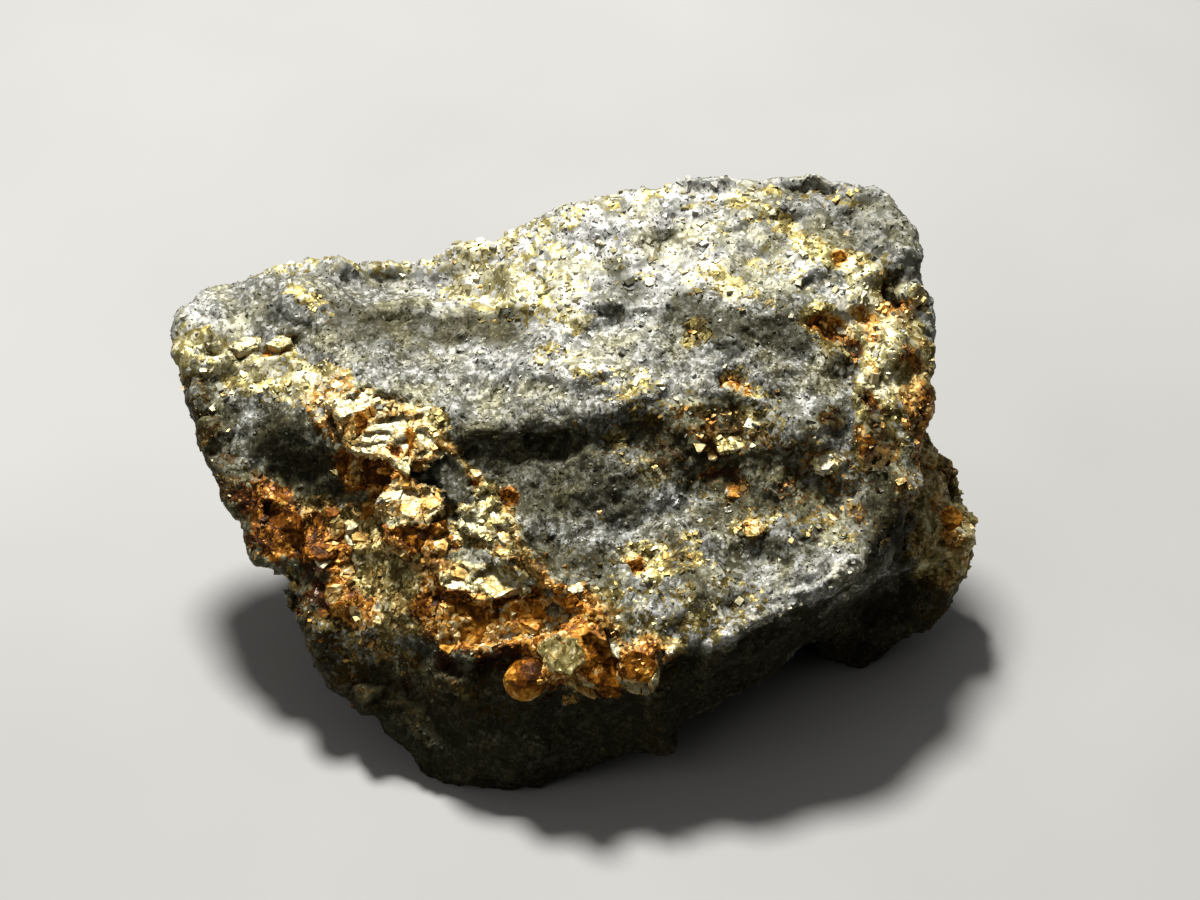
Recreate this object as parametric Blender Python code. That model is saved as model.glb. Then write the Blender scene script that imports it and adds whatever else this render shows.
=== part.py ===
"""A hand specimen of pyrite with magnetite, one solid piece of broken ore.

The ore is built up from angular blocks whose corners are given in millimetres, grown together
by a voxel remesh, then worked over: hollows and lumps are pushed into it, the pyrite takes blocky
crystal faces and the magnetite a finer lumpy break. The underside ends in flat breaks on the floor.

Working axes, in millimetres: +X to the right along the specimen, +Y to its back, +Z up.
The finished specimen has its origin at the middle of its footprint, on the floor.
"""

import math
import random

import bmesh
import bpy
from mathutils import Euler, Matrix, Vector, noise
from mathutils.bvhtree import BVHTree

MM = 0.001

# Driving dimensions of the finished specimen.
LENGTH_MM = 52.5
DEPTH_MM = 33.2
HEIGHT_MM = 25.4

MOST_TRIANGLES = 9400
BLOCK_VOXEL_MM = 0.6
CRYSTAL_VOXEL_MM = 0.42
FLOOR_CUT_MM = 0.4

# The broken surface: a thin skin with long waves in it, coarse facets and, most in pyrite, fine ones.
SKIN_MM = 0.25
WAVE_MM, WAVE_HEIGHT_MM = 7, 0.45
COARSE_FACET_MM, COARSE_FACET_HEIGHT_MM = 4.6, 1.25
FINE_FACET_MM, FINE_FACET_HEIGHT_MM, FINE_FACET_MORE_IN_PYRITE_MM = 2.2, 0.6, 0.4

# How far the borders of the pyrite and the cracks wander, and over what length.
BORDER_WANDER_MM, BORDER_WAVE_MM = 1.5, 4
LINE_WANDER_MM, LINE_WAVE_MM = 0.7, 2.5

# The blocks that the specimen is made of, each the convex hull of its corners.
BLOCKS = {
    "high back block": [
        (3.2, 17.4, 25), (9.3, 17.8, 25.4), (14, 17.8, 25.9), (18.6, 17, 25.8), (21.8, 15.2, 25.2),
        (22.8, 12.8, 23.6), (23, 7, 17), (21.8, 6.6, 19.7), (18.3, 4.4, 20.1), (13.8, 3.2, 20.5),
        (9.4, 3, 20.6), (5.8, 2.3, 20.5), (1.5, 0.7, 19.4), (-3, 0.2, 18.7), (-0.5, 16.6, 23.6),
        (-4, 16.2, 22.4), (20, 14, 5), (5, 15, 3), (-6, 12, 3), (22, 5, 6), (-6, 1, 7), (4, 1, 5),
    ],
    "left shoulder": [
        (-25.5, 10.8, 18.4), (-24.2, 13.8, 19.6), (-21.8, 15, 20.3), (-17, 15.8, 20.4),
        (-20.5, 11.6, 20.4), (-14.2, 12, 19.9), (-8.3, 11, 20.3), (-4, 10, 20.7), (-3.5, 1, 18.3),
        (-8.5, 0.4, 17.6), (-14.8, 3.2, 16.6), (-25.6, 8.8, 15.6), (-23.2, 2.4, 14),
        (-20.8, -1.7, 11), (-17.4, -4.4, 7.6), (-15.5, -0.8, 12.6), (-17, 10, 5), (-12, -3, 4),
        (-5, 11, 3), (-8, -1, 6),
    ],
    "back rim": [
        (-19, 15.6, 19.4), (-13, 16, 20.8), (-9.6, 15.6, 20.7), (-7, 16, 21.8), (-2, 16.2, 22.6),
        (-4, 11.5, 19), (-17, 12, 18), (-15, 11, 6), (-4, 12, 4),
    ],
    "gold ledge": [
        (-14, 1.4, 15.6), (-12.9, 3.6, 16.8), (-9.1, 3.7, 17.2), (-8.3, -0.2, 16.6),
        (-11.2, -0.6, 16.3), (-13, 0, 15.8), (-14, 0, 8), (-8, -1, 8), (-10, 6, 10),
    ],
    "front mass": [
        (-14.1, -0.8, 12.4), (-10.9, -0.9, 13.6), (-8, -0.8, 14.6), (-6, -4.2, 14.2),
        (-3, -7.8, 13.1), (1.9, -10.2, 11.9), (5.4, -11.9, 10.8), (5.9, -12.6, 6),
        (-5.5, -8, 12.2), (-7.6, -6, 12.9), (-10.5, -5.6, 12.2), (-9.5, -10, 7.6), (-4.5, -12.4, 8.2),
        (1.5, -13.2, 8.2), (-5.4, -13.8, 0.3), (-9.4, -12.1, 0.6), (3.4, -12.3, 2),
        (6.1, -12.7, 3.2), (-13, -9.5, 2.3), (-15.2, -7.4, 4), (-17, -5.4, 8), (0, 0, 1),
        (-10, 0, 1), (3, -2, 12),
    ],
    "right shelf": [
        (-8, 0.8, 15.9), (-3.9, -2.4, 14.6), (0.4, -3.5, 14), (6.6, -2.1, 15.5),
        (-3, -7.8, 13.1), (5.6, -12.1, 10.8), (10.8, -11.2, 11.9), (13.6, -9.8, 12.9),
        (18.3, -7.3, 14), (20.5, -2, 15.2), (21.4, -3.4, 11.5), (6, -12, 4.5), (9.1, -9.9, 3),
        (12, -7.3, 5), (15, -4, 6), (19, -3, 7), (3, -2, 4), (18, 3, 5),
    ],
    "right slope": [
        (5.8, 1.8, 19.4), (9.4, 2.4, 20.3), (14, 2.4, 20.1), (18.5, 3.2, 19.5), (22.4, 5.4, 18.4),
        (22.6, 4.5, 16.8), (21, -1.6, 14.9), (6.6, -2, 15.6), (11.9, -2, 16.3), (17.6, -2, 16.1),
        (8, 4, 8), (20, 4, 8), (18, 8, 18),
    ],
    "fold under the ridge": [
        (-8, 0.6, 16.8), (-3, 0.2, 18.2), (1.5, 0.7, 19), (6, 2.2, 19.9), (-4.2, -2.3, 14.9),
        (0.4, -3.9, 14.5), (4, -3.7, 15.4), (7.2, -2.9, 16.3), (-7, 4, 9), (7, 4, 9),
    ],
    "right lobe": [
        (23.9, 5.4, 12), (25.7, 3.3, 8.6), (25.7, 1.9, 6), (24, 0, 3.2), (21, -0.9, 1.2),
        (18.9, -2.3, 0.6), (16.8, -3.4, 1.2), (14.8, -2.6, 3), (15.5, -3, 6), (21.8, -1.6, 9.4),
        (23, 8, 13), (22, 10, 9), (21, 10, 3), (14, 4, 0.4), (19, 6, 0.4),
    ],
    "left foot": [
        (-9.2, -11.4, 0), (-6.6, -13.2, 0), (-3.9, -13.4, 0), (2, -10.6, 0), (5, -7, 0),
        (8, 1, 0), (0, 10, 0), (-9, 6, 0), (-10, -9, 4), (-8, 8, 6), (6, 8, 6), (5, -8, 6),
    ],
    "right foot": [
        (19, -1.6, 0), (14.2, 1.2, 0), (20.6, 4, 0), (15, 10, 0), (5, 10, 0), (8, 2, 0),
        (19, 8, 6), (5, 8, 6), (9, 3, 6),
    ],
}

# Hollows and lumps: the middle of each, how far it reaches, and how far it moves the surface.
PUSHES = {
    "hollow under the ridge": ((-2, -0.8, 16.4), 4, (0, 0.6, -0.5)),
    "recess under the ledge": ((-12.4, -1.6, 14.6), 2.2, (0.2, 1.4, -0.5)),
    "dark facet": ((-17.5, 0.5, 13), 4.5, (0.8, 1.6, 0.2)),
    "saddle behind the shoulder": ((-11.5, 14, 20), 4.5, (0, 0, -1.1)),
    "orange hollow": ((-2.6, -9.6, 11.4), 2.7, (0, 1.9, -0.7)),
    "shade under the lip": ((-4.6, -12.6, 8), 2.6, (0, 1.1, 0)),
    "lower left hollow": ((-10, -9.5, 7), 3.4, (0.4, 1.2, 0.2)),
    "pit in the slope": ((10.5, 1, 18.6), 2.2, (0, 0.6, -0.5)),
    "second pit in the slope": ((17.5, 6.4, 21), 2.2, (0, 0.3, -0.7)),
    "lump on the slope": ((14.5, 0.6, 18.2), 2.4, (0, -0.7, 0.7)),
    "bulge of the hill": ((-9.4, -4, 14), 2.8, (0, -0.4, 0.7)),
    "bulge of the ridge": ((0, 3.5, 19.4), 5.0, (0, -0.3, 0.6)),
    "waist of the right side": ((23.2, 4.5, 14.5), 3.5, (-0.8, 0, 0)),
    "crease beside the lobe": ((21.5, -1.8, 11), 2.4, (-0.4, 1.4, 0.2)),
    "hollow in the back": ((-2, 15.5, 10), 6.5, (0, -1.8, 0)),
    "hollow under the left foot": ((-2.5, -3, 0), 8.0, (0, 0, 2.2)),
    "hollow under the right foot": ((13, 5.5, 0), 5.5, (0, 0, 1.8)),
    "hollow in the left end": ((-23.5, 6.5, 9), 5.5, (1.8, 0, 0)),
}

# Cracks where the depth is positive, raised seams where it is negative: both ends, how far the
# line reaches to its sides, and how deep it runs.
LINES = {
    "shoulder crack": ((-24.5, 7.6, 17), (-18.2, 6.8, 17.8), 1.1, 0.9),
    "shoulder side crack": ((-23.6, 5, 15.2), (-17, 5.2, 17), 0.9, 0.6),
    "crack over the hill": ((-14.5, -0.8, 13.6), (-10, -1.6, 15), 1.2, 1.2),
    "crack in the hill": ((-9.8, -1.6, 15.4), (-8.8, -3.8, 15), 0.7, 0.7),
    "upper seam": ((-8, -0.2, 16.4), (-5.6, -3.2, 15), 1.1, -0.5),
    "middle seam": ((-5.6, -3.2, 15), (-3.4, -6.4, 13.8), 1.1, -0.5),
    "lower seam": ((-3.4, -6.4, 13.8), (3.4, -10.8, 11.6), 1.1, -0.5),
    "bright ledge": ((-6, -7.8, 13.2), (-1.6, -8.2, 12.9), 1.0, -0.6),
    "lip of the orange hollow": ((-7.4, -10.4, 9.6), (0.6, -11, 10.3), 1.1, -0.8),
    "crack in the slope": ((9.5, -1.2, 16), (16, -0.8, 16.8), 1.1, 0.8),
    "crack in the lower facet": ((3, -6, 13.6), (14, -6.6, 14.2), 1.0, 0.5),
    "edge of the front": ((5.6, -12.4, 10.4), (6.4, -12.8, 3.4), 1.2, -0.6),
    "crack across the back": ((-18, 14, 12), (8, 15.5, 14), 1.4, 0.9),
    "crack down the back": ((12, 16.5, 20), (9, 14, 6), 1.3, 0.8),
}

# Where the ore is mostly pyrite: middles and radii of round zones.
PYRITE_ZONES = [
    ((-12, 2.5, 15.6), 3.6), ((-10, -3, 13), 4.2), ((-4, -7.5, 11.5), 4.5),
    ((1.5, -11.5, 8.5), 5.5), ((-7, -10, 8), 4.5), ((-16, -2.5, 9.5), 4.0),
    ((20.5, 6, 19.5), 4.2), ((24.5, 2.5, 8), 4.2), ((20.5, -1, 14), 3.0), ((6, 16, 15), 5.5),
    ((-14, 12, 9), 5.0), ((18, 11, 8), 4.5),
]

# Single crystals large enough to be seen: habit, middle, size, and turn about X, Y and Z in degrees.
LARGE_CRYSTALS = {
    "wedge crystal": ("cube", (0.8, -10.5, 10.0), 4.0, (-8, 6, 43)),
    "orange crystal": ("pyritohedron", (-2.5, -11.9, 8.9), 2.3, (20, 35, 50)),
    "tip crystal": ("pyritohedron", (4.2, -11.3, 9.9), 2.2, (60, 10, 20)),
    "hill block": ("cube", (-9.8, -2.6, 12.9), 3.4, (10, 12, 24)),
    "ledge block": ("cube", (-11, 1.4, 15.3), 3.6, (-8, 10, 14)),
    "left block": ("cube", (-15.6, -2.8, 10.2), 3.0, (40, 10, 30)),
    "side block": ("cube", (-12.2, -6.4, 8), 3.0, (25, 30, 12)),
    "corner block": ("cube", (20.6, 6.4, 19.6), 2.8, (10, 30, 20)),
    "lobe block": ("cube", (23.6, 2.4, 8.8), 3.0, (35, 12, 25)),
}
SMALL_CRYSTALS = 110
SMALL_CRYSTAL_SIZES_MM = (1.3, 2.7)
CRYSTAL_SPREAD = 0.55
CUBE_SHARE = 0.75
SUNK_SHARE = 0.3
ZONE_TURN, CRYSTAL_TURN = 2.1, 0.22
SEED = 42


def closeness(point, middle, reach):
    """1 at the middle of a zone, falling smoothly to 0 at its reach."""
    share = (point - Vector(middle)).length / reach
    return (1 - share * share) ** 2 if share < 1 else 0.0


def pyrite_at(point):
    """How far the ore at this point is pyrite, from 0 to 1."""
    warped = point + BORDER_WANDER_MM * noise.noise_vector(point / BORDER_WAVE_MM)
    nearest = max(closeness(warped, middle, 1.35 * radius) for middle, radius in PYRITE_ZONES)
    return min(1.0, 1.6 * nearest)


def hull_of(mesh, corners):
    """Adds the convex hull of the corners to a bmesh."""
    verts = [mesh.verts.new(corner) for corner in corners]
    made = bmesh.ops.convex_hull(mesh, input=verts)
    inside = [item for item in made["geom_interior"] if isinstance(item, bmesh.types.BMVert)]
    bmesh.ops.delete(mesh, geom=inside, context="VERTS")


def cube_corners():
    return [(x, y, z) for x in (-0.5, 0.5) for y in (-0.5, 0.5) for z in (-0.5, 0.5)]


def pyritohedron_corners():
    """A cube whose faces have each risen to a roof, so that twelve five-sided faces bound it."""
    roofs = [(0, y * 0.68, z * 0.34) for y in (-1, 1) for z in (-1, 1)]
    turned = [(y, z, x) for x, y, z in roofs] + [(z, x, y) for x, y, z in roofs]
    return [tuple(0.9 * x for x in corner) for corner in cube_corners()] + roofs + turned


HABITS = {"cube": cube_corners(), "pyritohedron": pyritohedron_corners()}


def crystal_of(mesh, habit, middle, size, turn):
    """Adds one crystal of pyrite."""
    place = Matrix.Translation(middle) @ turn.to_matrix().to_4x4() @ Matrix.Scale(size, 4)
    hull_of(mesh, [place @ Vector(corner) for corner in HABITS[habit]])


def grown_together(mesh, voxel):
    """Joins all that overlaps in a bmesh into one closed skin of even faces."""
    data = bpy.data.meshes.new("ore")
    mesh.to_mesh(data)
    mesh.free()
    obj = bpy.data.objects.new("growing", data)
    bpy.context.scene.collection.objects.link(obj)
    remesh = obj.modifiers.new("grow together", "REMESH")
    remesh.mode = "VOXEL"
    remesh.voxel_size = voxel
    grown = taken_from(obj)
    leave_outer_skin(grown)
    return grown


def leave_outer_skin(mesh):
    """Deletes the walls of pockets sealed inside, by keeping only the largest connected skin."""
    unseen, skins = set(mesh.verts), []
    while unseen:
        skin, edge_of_skin = set(), [unseen.pop()]
        while edge_of_skin:
            vert = edge_of_skin.pop()
            skin.add(vert)
            for edge in vert.link_edges:
                other = edge.other_vert(vert)
                if other in unseen:
                    unseen.remove(other)
                    edge_of_skin.append(other)
        skins.append(skin)
    outer = max(skins, key=len)
    bmesh.ops.delete(mesh, geom=[vert for vert in mesh.verts if vert not in outer], context="VERTS")


def taken_from(obj):
    """The object's evaluated mesh as a bmesh. The object itself is removed."""
    graph = bpy.context.evaluated_depsgraph_get()
    mesh = bmesh.new()
    mesh.from_object(obj, graph)
    bpy.data.objects.remove(obj)
    return in_order(mesh)


def in_order(mesh):
    """The same mesh with its vertices and faces in order of place, so that every run goes on alike."""
    verts = sorted(mesh.verts, key=lambda vert: tuple(vert.co))
    rank = {vert: number for number, vert in enumerate(verts)}
    rings = []
    for face in mesh.faces:
        ring = [rank[vert] for vert in face.verts]
        first = ring.index(min(ring))
        rings.append(ring[first:] + ring[:first])
    ordered = bmesh.new()
    made = [ordered.verts.new(vert.co) for vert in verts]
    for ring in sorted(rings):
        ordered.faces.new([made[number] for number in ring])
    mesh.free()
    return ordered


def push_hollows_and_lumps(mesh):
    for middle, reach, push in PUSHES.values():
        for vert in mesh.verts:
            vert.co += closeness(vert.co, middle, reach) * Vector(push)


def draw_lines(mesh):
    mesh.normal_update()
    for start, end, reach, depth in LINES.values():
        start, run = Vector(start), Vector(end) - Vector(start)
        for vert in mesh.verts:
            wander = vert.co + LINE_WANDER_MM * noise.noise_vector(vert.co / LINE_WAVE_MM)
            along = min(1.0, max(0.0, (wander - start).dot(run) / run.length_squared))
            vert.co -= depth * closeness(wander, start + along * run, reach) * vert.normal


def angular_break(point, cell):
    """Height of a broken surface of flat tilted facets, each about one cell across."""
    _, seeds = noise.voronoi(point / cell)
    tilt = noise.noise_vector(seeds[0] * 7.7)
    return (point / cell - seeds[0]).dot(tilt) + 0.5 * noise.noise(seeds[0] * 5.1)


def roughen(mesh):
    """Grows a skin with waves in it and then breaks it into tilted facets."""
    mesh.normal_update()
    for vert in mesh.verts:
        point = vert.co.copy()
        fine_height = FINE_FACET_HEIGHT_MM + FINE_FACET_MORE_IN_PYRITE_MM * pyrite_at(point)
        height = SKIN_MM + WAVE_HEIGHT_MM * noise.noise(point / WAVE_MM)
        height += COARSE_FACET_HEIGHT_MM * angular_break(point, COARSE_FACET_MM)
        height += fine_height * angular_break(point, FINE_FACET_MM)
        vert.co += height * vert.normal


def add_crystals(mesh):
    """Crystals sunk into the ore where it is pyrite, those of one zone turned nearly alike."""
    chance = random.Random(SEED)
    skin = BVHTree.FromBMesh(mesh)
    for habit, middle, size, turn in LARGE_CRYSTALS.values():
        crystal_of(mesh, habit, Vector(middle), size, Euler(map(math.radians, turn)))
    smallest, largest = SMALL_CRYSTAL_SIZES_MM
    for number in range(SMALL_CRYSTALS):
        zone = number % len(PYRITE_ZONES)
        middle, radius = PYRITE_ZONES[zone]
        spread = Vector([chance.gauss(0, CRYSTAL_SPREAD * radius) for _ in range(3)])
        seat, normal, _, _ = skin.find_nearest(Vector(middle) + spread)
        size = smallest + (largest - smallest) * chance.random() ** 2
        turn = [ZONE_TURN * zone * (axis + 1) + chance.gauss(0, CRYSTAL_TURN) for axis in range(3)]
        habit = "cube" if chance.random() < CUBE_SHARE else "pyritohedron"
        crystal_of(mesh, habit, seat - SUNK_SHARE * size * normal, size, Euler(turn))


def thinned(mesh, most_triangles):
    """The same skin with fewer faces, large where it is flat and small where it turns."""
    bmesh.ops.triangulate(mesh, faces=mesh.faces)
    data = bpy.data.meshes.new("ore")
    share = most_triangles / len(mesh.faces)
    mesh.to_mesh(data)
    mesh.free()
    obj = bpy.data.objects.new("thinning", data)
    bpy.context.scene.collection.objects.link(obj)
    decimate = obj.modifiers.new("thin", "DECIMATE")
    decimate.ratio = share
    return taken_from(obj)


def cut_feet(mesh):
    """Breaks the underside off flat, so that the specimen rests as it lies."""
    everything = mesh.verts[:] + mesh.edges[:] + mesh.faces[:]
    bmesh.ops.bisect_plane(
        mesh, geom=everything, plane_co=(0, 0, FLOOR_CUT_MM), plane_no=(0, 0, 1), clear_inner=True
    )
    rims = [edge for edge in mesh.edges if edge.is_boundary]
    bmesh.ops.triangle_fill(mesh, edges=rims, normal=(0, 0, -1), use_beauty=True)
    bmesh.ops.triangulate(mesh, faces=[face for face in mesh.faces if len(face.verts) > 3])
    bmesh.ops.recalc_face_normals(mesh, faces=mesh.faces)


def fit_to_size(mesh):
    """Brings the specimen to its driving dimensions, in metres, with its origin under its middle."""
    low = Vector([min(vert.co[axis] for vert in mesh.verts) for axis in range(3)])
    high = Vector([max(vert.co[axis] for vert in mesh.verts) for axis in range(3)])
    size = Vector((LENGTH_MM, DEPTH_MM, HEIGHT_MM))
    bottom_middle = Vector(((low.x + high.x) / 2, (low.y + high.y) / 2, low.z))
    for vert in mesh.verts:
        offset = vert.co - bottom_middle
        vert.co = [offset[a] * size[a] / (high[a] - low[a]) * MM for a in range(3)]


def ore_material():
    material = bpy.data.materials.new("pyrite_ore")
    material.use_nodes = True
    shader = material.node_tree.nodes["Principled BSDF"]
    shader.inputs["Base Color"].default_value = (0.20, 0.17, 0.11, 1)
    shader.inputs["Metallic"].default_value = 0.6
    shader.inputs["Roughness"].default_value = 0.5
    return material


def main():
    for obj in list(bpy.data.objects):
        bpy.data.objects.remove(obj)
    noise.seed_set(SEED)
    blocks = bmesh.new()
    for corners in BLOCKS.values():
        hull_of(blocks, corners)
    ore = grown_together(blocks, BLOCK_VOXEL_MM)
    push_hollows_and_lumps(ore)
    draw_lines(ore)
    roughen(ore)
    add_crystals(ore)
    ore = grown_together(ore, CRYSTAL_VOXEL_MM)
    ore = thinned(ore, MOST_TRIANGLES)
    cut_feet(ore)
    fit_to_size(ore)
    data = bpy.data.meshes.new("pyrite_magnetite_ore")
    ore.to_mesh(data)
    ore.free()
    specimen = bpy.data.objects.new("pyrite_magnetite_ore", data)
    specimen.data.materials.append(ore_material())
    bpy.context.scene.collection.objects.link(specimen)


main()
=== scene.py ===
import math
import random

import bmesh
import bpy
import numpy as np
from mathutils import Matrix, Vector, noise
from mathutils.bvhtree import BVHTree


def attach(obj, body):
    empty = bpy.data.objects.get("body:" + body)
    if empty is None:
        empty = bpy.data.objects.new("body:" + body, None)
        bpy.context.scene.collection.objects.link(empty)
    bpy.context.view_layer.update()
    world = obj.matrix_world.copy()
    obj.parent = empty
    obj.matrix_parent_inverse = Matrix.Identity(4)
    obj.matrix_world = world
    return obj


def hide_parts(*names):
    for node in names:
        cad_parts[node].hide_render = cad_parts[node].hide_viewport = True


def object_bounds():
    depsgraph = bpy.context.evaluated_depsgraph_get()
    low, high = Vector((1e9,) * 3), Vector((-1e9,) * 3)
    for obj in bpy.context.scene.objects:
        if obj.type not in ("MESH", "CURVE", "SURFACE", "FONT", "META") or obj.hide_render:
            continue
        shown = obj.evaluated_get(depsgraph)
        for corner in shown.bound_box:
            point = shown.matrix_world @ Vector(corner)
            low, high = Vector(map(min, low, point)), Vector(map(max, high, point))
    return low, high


mm = 0.001
fullTurn = 6.283
tiny = 1e-9  # keeps divisions away from zero
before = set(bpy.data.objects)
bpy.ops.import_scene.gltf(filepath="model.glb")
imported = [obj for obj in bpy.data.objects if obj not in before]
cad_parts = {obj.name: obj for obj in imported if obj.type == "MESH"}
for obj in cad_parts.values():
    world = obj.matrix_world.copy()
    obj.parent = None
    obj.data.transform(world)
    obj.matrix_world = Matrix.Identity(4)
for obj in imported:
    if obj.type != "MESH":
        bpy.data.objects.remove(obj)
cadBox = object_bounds()
noise.seed_set(7)
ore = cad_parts["pyrite_magnetite_ore"]


# camera and light

camera = {
    "aim": Vector((1.51, -1.66, 16.4)) * mm,
    "distance": 260 * mm,
    "elevation": 40,
    "lens": 124.8,
    "sensor": 36,
    "nearest": 0.01,
    "across": 1200,
    "down": 900,
}


def lineOfSight():
    tilt = math.radians(camera["elevation"])
    return Vector((0, math.cos(tilt), -math.sin(tilt)))


def placeCamera():
    data = bpy.data.cameras.new("camera")
    data.lens = camera["lens"]
    data.sensor_width = camera["sensor"]
    data.clip_start = camera["nearest"]
    obj = bpy.data.objects.new("camera", data)
    obj.location = camera["aim"] - lineOfSight() * camera["distance"]
    obj.rotation_euler = (math.radians(90 - camera["elevation"]), 0, 0)
    bpy.context.scene.collection.objects.link(obj)
    bpy.context.scene.camera = obj


lights = {
    "key": {"toward": (-0.15, 0.43, 0.89), "distance": 0.42, "size": 0.09, "watts": 5.3,
            "colour": (1, 0.98, 0.95)},
    "fill": {"toward": (-0.55, -0.5, 0.6), "distance": 0.6, "size": 0.5, "watts": 0.65,
             "colour": (1, 0.97, 0.92)},
}
lightsAim = Vector((0, 0, 10)) * mm


def placeLights():
    for name, light in lights.items():
        data = bpy.data.lights.new(name, "AREA")
        data.shape = "DISK"
        data.size = light["size"]
        data.energy = light["watts"]
        data.color = light["colour"]
        obj = bpy.data.objects.new(name, data)
        toward = Vector(light["toward"]).normalized()
        obj.location = lightsAim + toward * light["distance"]
        obj.rotation_euler = toward.to_track_quat("Z", "Y").to_euler()
        bpy.context.scene.collection.objects.link(obj)


# node trees written as sums

class Wire:
    def __init__(self, tree, node, out=0):
        self.tree, self.node = tree, node
        names = [s.identifier for s in node.outputs]
        self.socket = node.outputs[names.index(out) if out in names else out]

    def other(self, out):
        return Wire(self.tree, self.node, out)

    def reckon(self, operation, *values):
        return makeNode(self.tree, "ShaderNodeMath", {"operation": operation}, dict(enumerate(values)))

    def __add__(self, x):
        return self.reckon("ADD", self, x)

    def __radd__(self, x):
        return self.reckon("ADD", x, self)

    def __sub__(self, x):
        return self.reckon("SUBTRACT", self, x)

    def __rsub__(self, x):
        return self.reckon("SUBTRACT", x, self)

    def __mul__(self, x):
        return self.reckon("MULTIPLY", self, x)

    def __pow__(self, x):
        return self.reckon("POWER", self, x)

    def clamp(self):
        wire = self + 0.0
        wire.node.use_clamp = True
        return wire


def makeNode(tree, kind, settings=None, inputs=None, out=0):
    node = tree.nodes.new(kind)
    for name, value in (settings or {}).items():
        if name == "stops":
            setStops(node.color_ramp, value)
        else:
            setattr(node, name, value)
    names = [s.identifier for s in node.inputs]
    for name, value in (inputs or {}).items():
        socket = node.inputs[names.index(name) if name in names else name]
        if isinstance(value, Wire):
            tree.links.new(value.socket, socket)
        else:
            socket.default_value = value
    return Wire(tree, node, out)


def setStops(ramp, stops):
    while len(ramp.elements) > 1:
        ramp.elements.remove(ramp.elements[-1])
    ramp.elements[0].position, ramp.elements[0].color = stops[0][0], (*stops[0][1], 1)
    for position, colour in stops[1:]:
        ramp.elements.new(position).color = (*colour, 1)


backEdge = {"starts": 3, "whole": 10}  # in mm behind the middle


class Finish:
    def __init__(self, name):
        self.material = bpy.data.materials.new(name)
        self.material.use_nodes = True
        self.tree = self.material.node_tree
        self.shader = self.tree.nodes["Principled BSDF"]
        self.place = self.node("ShaderNodeTexCoord", out="Object")

    def node(self, kind, settings=None, inputs=None, out=0):
        return makeNode(self.tree, kind, settings, inputs, out)

    def attributes(self, *names):
        return [self.node("ShaderNodeAttribute", {"attribute_name": name}, out="Fac") for name in names]

    def noise(self, perMm, detail=3, rough=0.6):
        return self.node("ShaderNodeTexNoise", {}, {"Vector": self.place, "Scale": perMm / mm,
                         "Detail": detail, "Roughness": rough})

    def cells(self, perMm, out="Color", feature="F1"):
        return self.node("ShaderNodeTexVoronoi", {"feature": feature},
                         {"Vector": self.place, "Scale": perMm / mm}, out)

    def ramp(self, factor, stops):
        return self.node("ShaderNodeValToRGB", {"stops": stops}, {"Fac": factor})

    def first(self, colour):
        return self.node("ShaderNodeSeparateXYZ", {}, {0: colour})

    def steps(self, value, low, high):
        return self.node("ShaderNodeMapRange", {"interpolation_type": "SMOOTHSTEP"},
                         {"Value": value, "From Min": low, "From Max": high})

    # none over the front of the ore, all towards its back edge
    def farShare(self):
        return self.steps(self.first(self.place).other("Y"), backEdge["starts"] * mm, backEdge["whole"] * mm)

    def mix(self, factor, one, two):
        return self.node("ShaderNodeMix", {"data_type": "RGBA", "blend_type": "MIX", "clamp_factor": True},
                         {"Factor_Float": factor, "A_Color": one, "B_Color": two}, "Result_Color")

    def vector(self, operation, one, two=(0, 0, 0), scale=1):
        return self.node("ShaderNodeVectorMath", {"operation": operation}, {0: one, 1: two, "Scale": scale})

    # normals that lean a little in every cell
    def tilted(self, perMm, amount, base=None):
        cell = self.vector("SUBTRACT", self.cells(perMm), (0.5, 0.5, 0.5))
        flat = base if base else self.node("ShaderNodeNewGeometry", out="Normal")
        leaning = self.vector("ADD", flat, self.vector("SCALE", cell, scale=amount))
        return self.vector("NORMALIZE", leaning)

    def bump(self, height, distance, strength, normal):
        return self.node("ShaderNodeBump", {}, {"Height": height, "Distance": distance * mm,
                         "Strength": strength, "Normal": normal}, "Normal")

    def set(self, **sockets):
        for name, value in sockets.items():
            socket = self.shader.inputs[name.replace("_", " ")]
            if isinstance(value, Wire):
                self.tree.links.new(value.socket, socket)
            else:
                socket.default_value = value
        return self.material


# places picked in the camera's frame, in its pixels

weld = 0.0001
cadMesh = bmesh.new()
cadMesh.from_mesh(ore.data)
bmesh.ops.remove_doubles(cadMesh, verts=cadMesh.verts, dist=weld * mm)
cadSkin = BVHTree.FromBMesh(cadMesh)


def sightRay(u, v):
    forward = lineOfSight()
    up = Vector((0, -forward.z, forward.y))
    pixels = camera["lens"] / camera["sensor"] * camera["across"]
    ray = forward * pixels + Vector((u - camera["across"] / 2, 0, 0)) + up * (camera["down"] / 2 - v)
    return camera["aim"] - forward * camera["distance"], ray.normalized()


def seat(u, v, skin=cadSkin):
    return skin.ray_cast(*sightRay(u, v))[:2]


def seats(path):
    return [seat(*pixel)[0] for pixel in path]


def onPlane(pixel, place, normal):
    eye, ray = sightRay(*pixel)
    return eye + ray * ((place - eye).dot(normal) / ray.dot(normal))


def pixelMm():
    return camera["distance"] * camera["sensor"] / camera["lens"] / camera["across"] / mm


def pixelsOf(places):
    forward = np.array(lineOfSight())
    up = np.array((0, -forward[2], forward[1]))
    away = places * mm - np.array(camera["aim"]) + forward * camera["distance"]
    scale = camera["lens"] / camera["sensor"] * camera["across"] / (away @ forward)
    return camera["across"] / 2 + away[:, 0] * scale, camera["down"] / 2 - (away @ up) * scale


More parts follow.
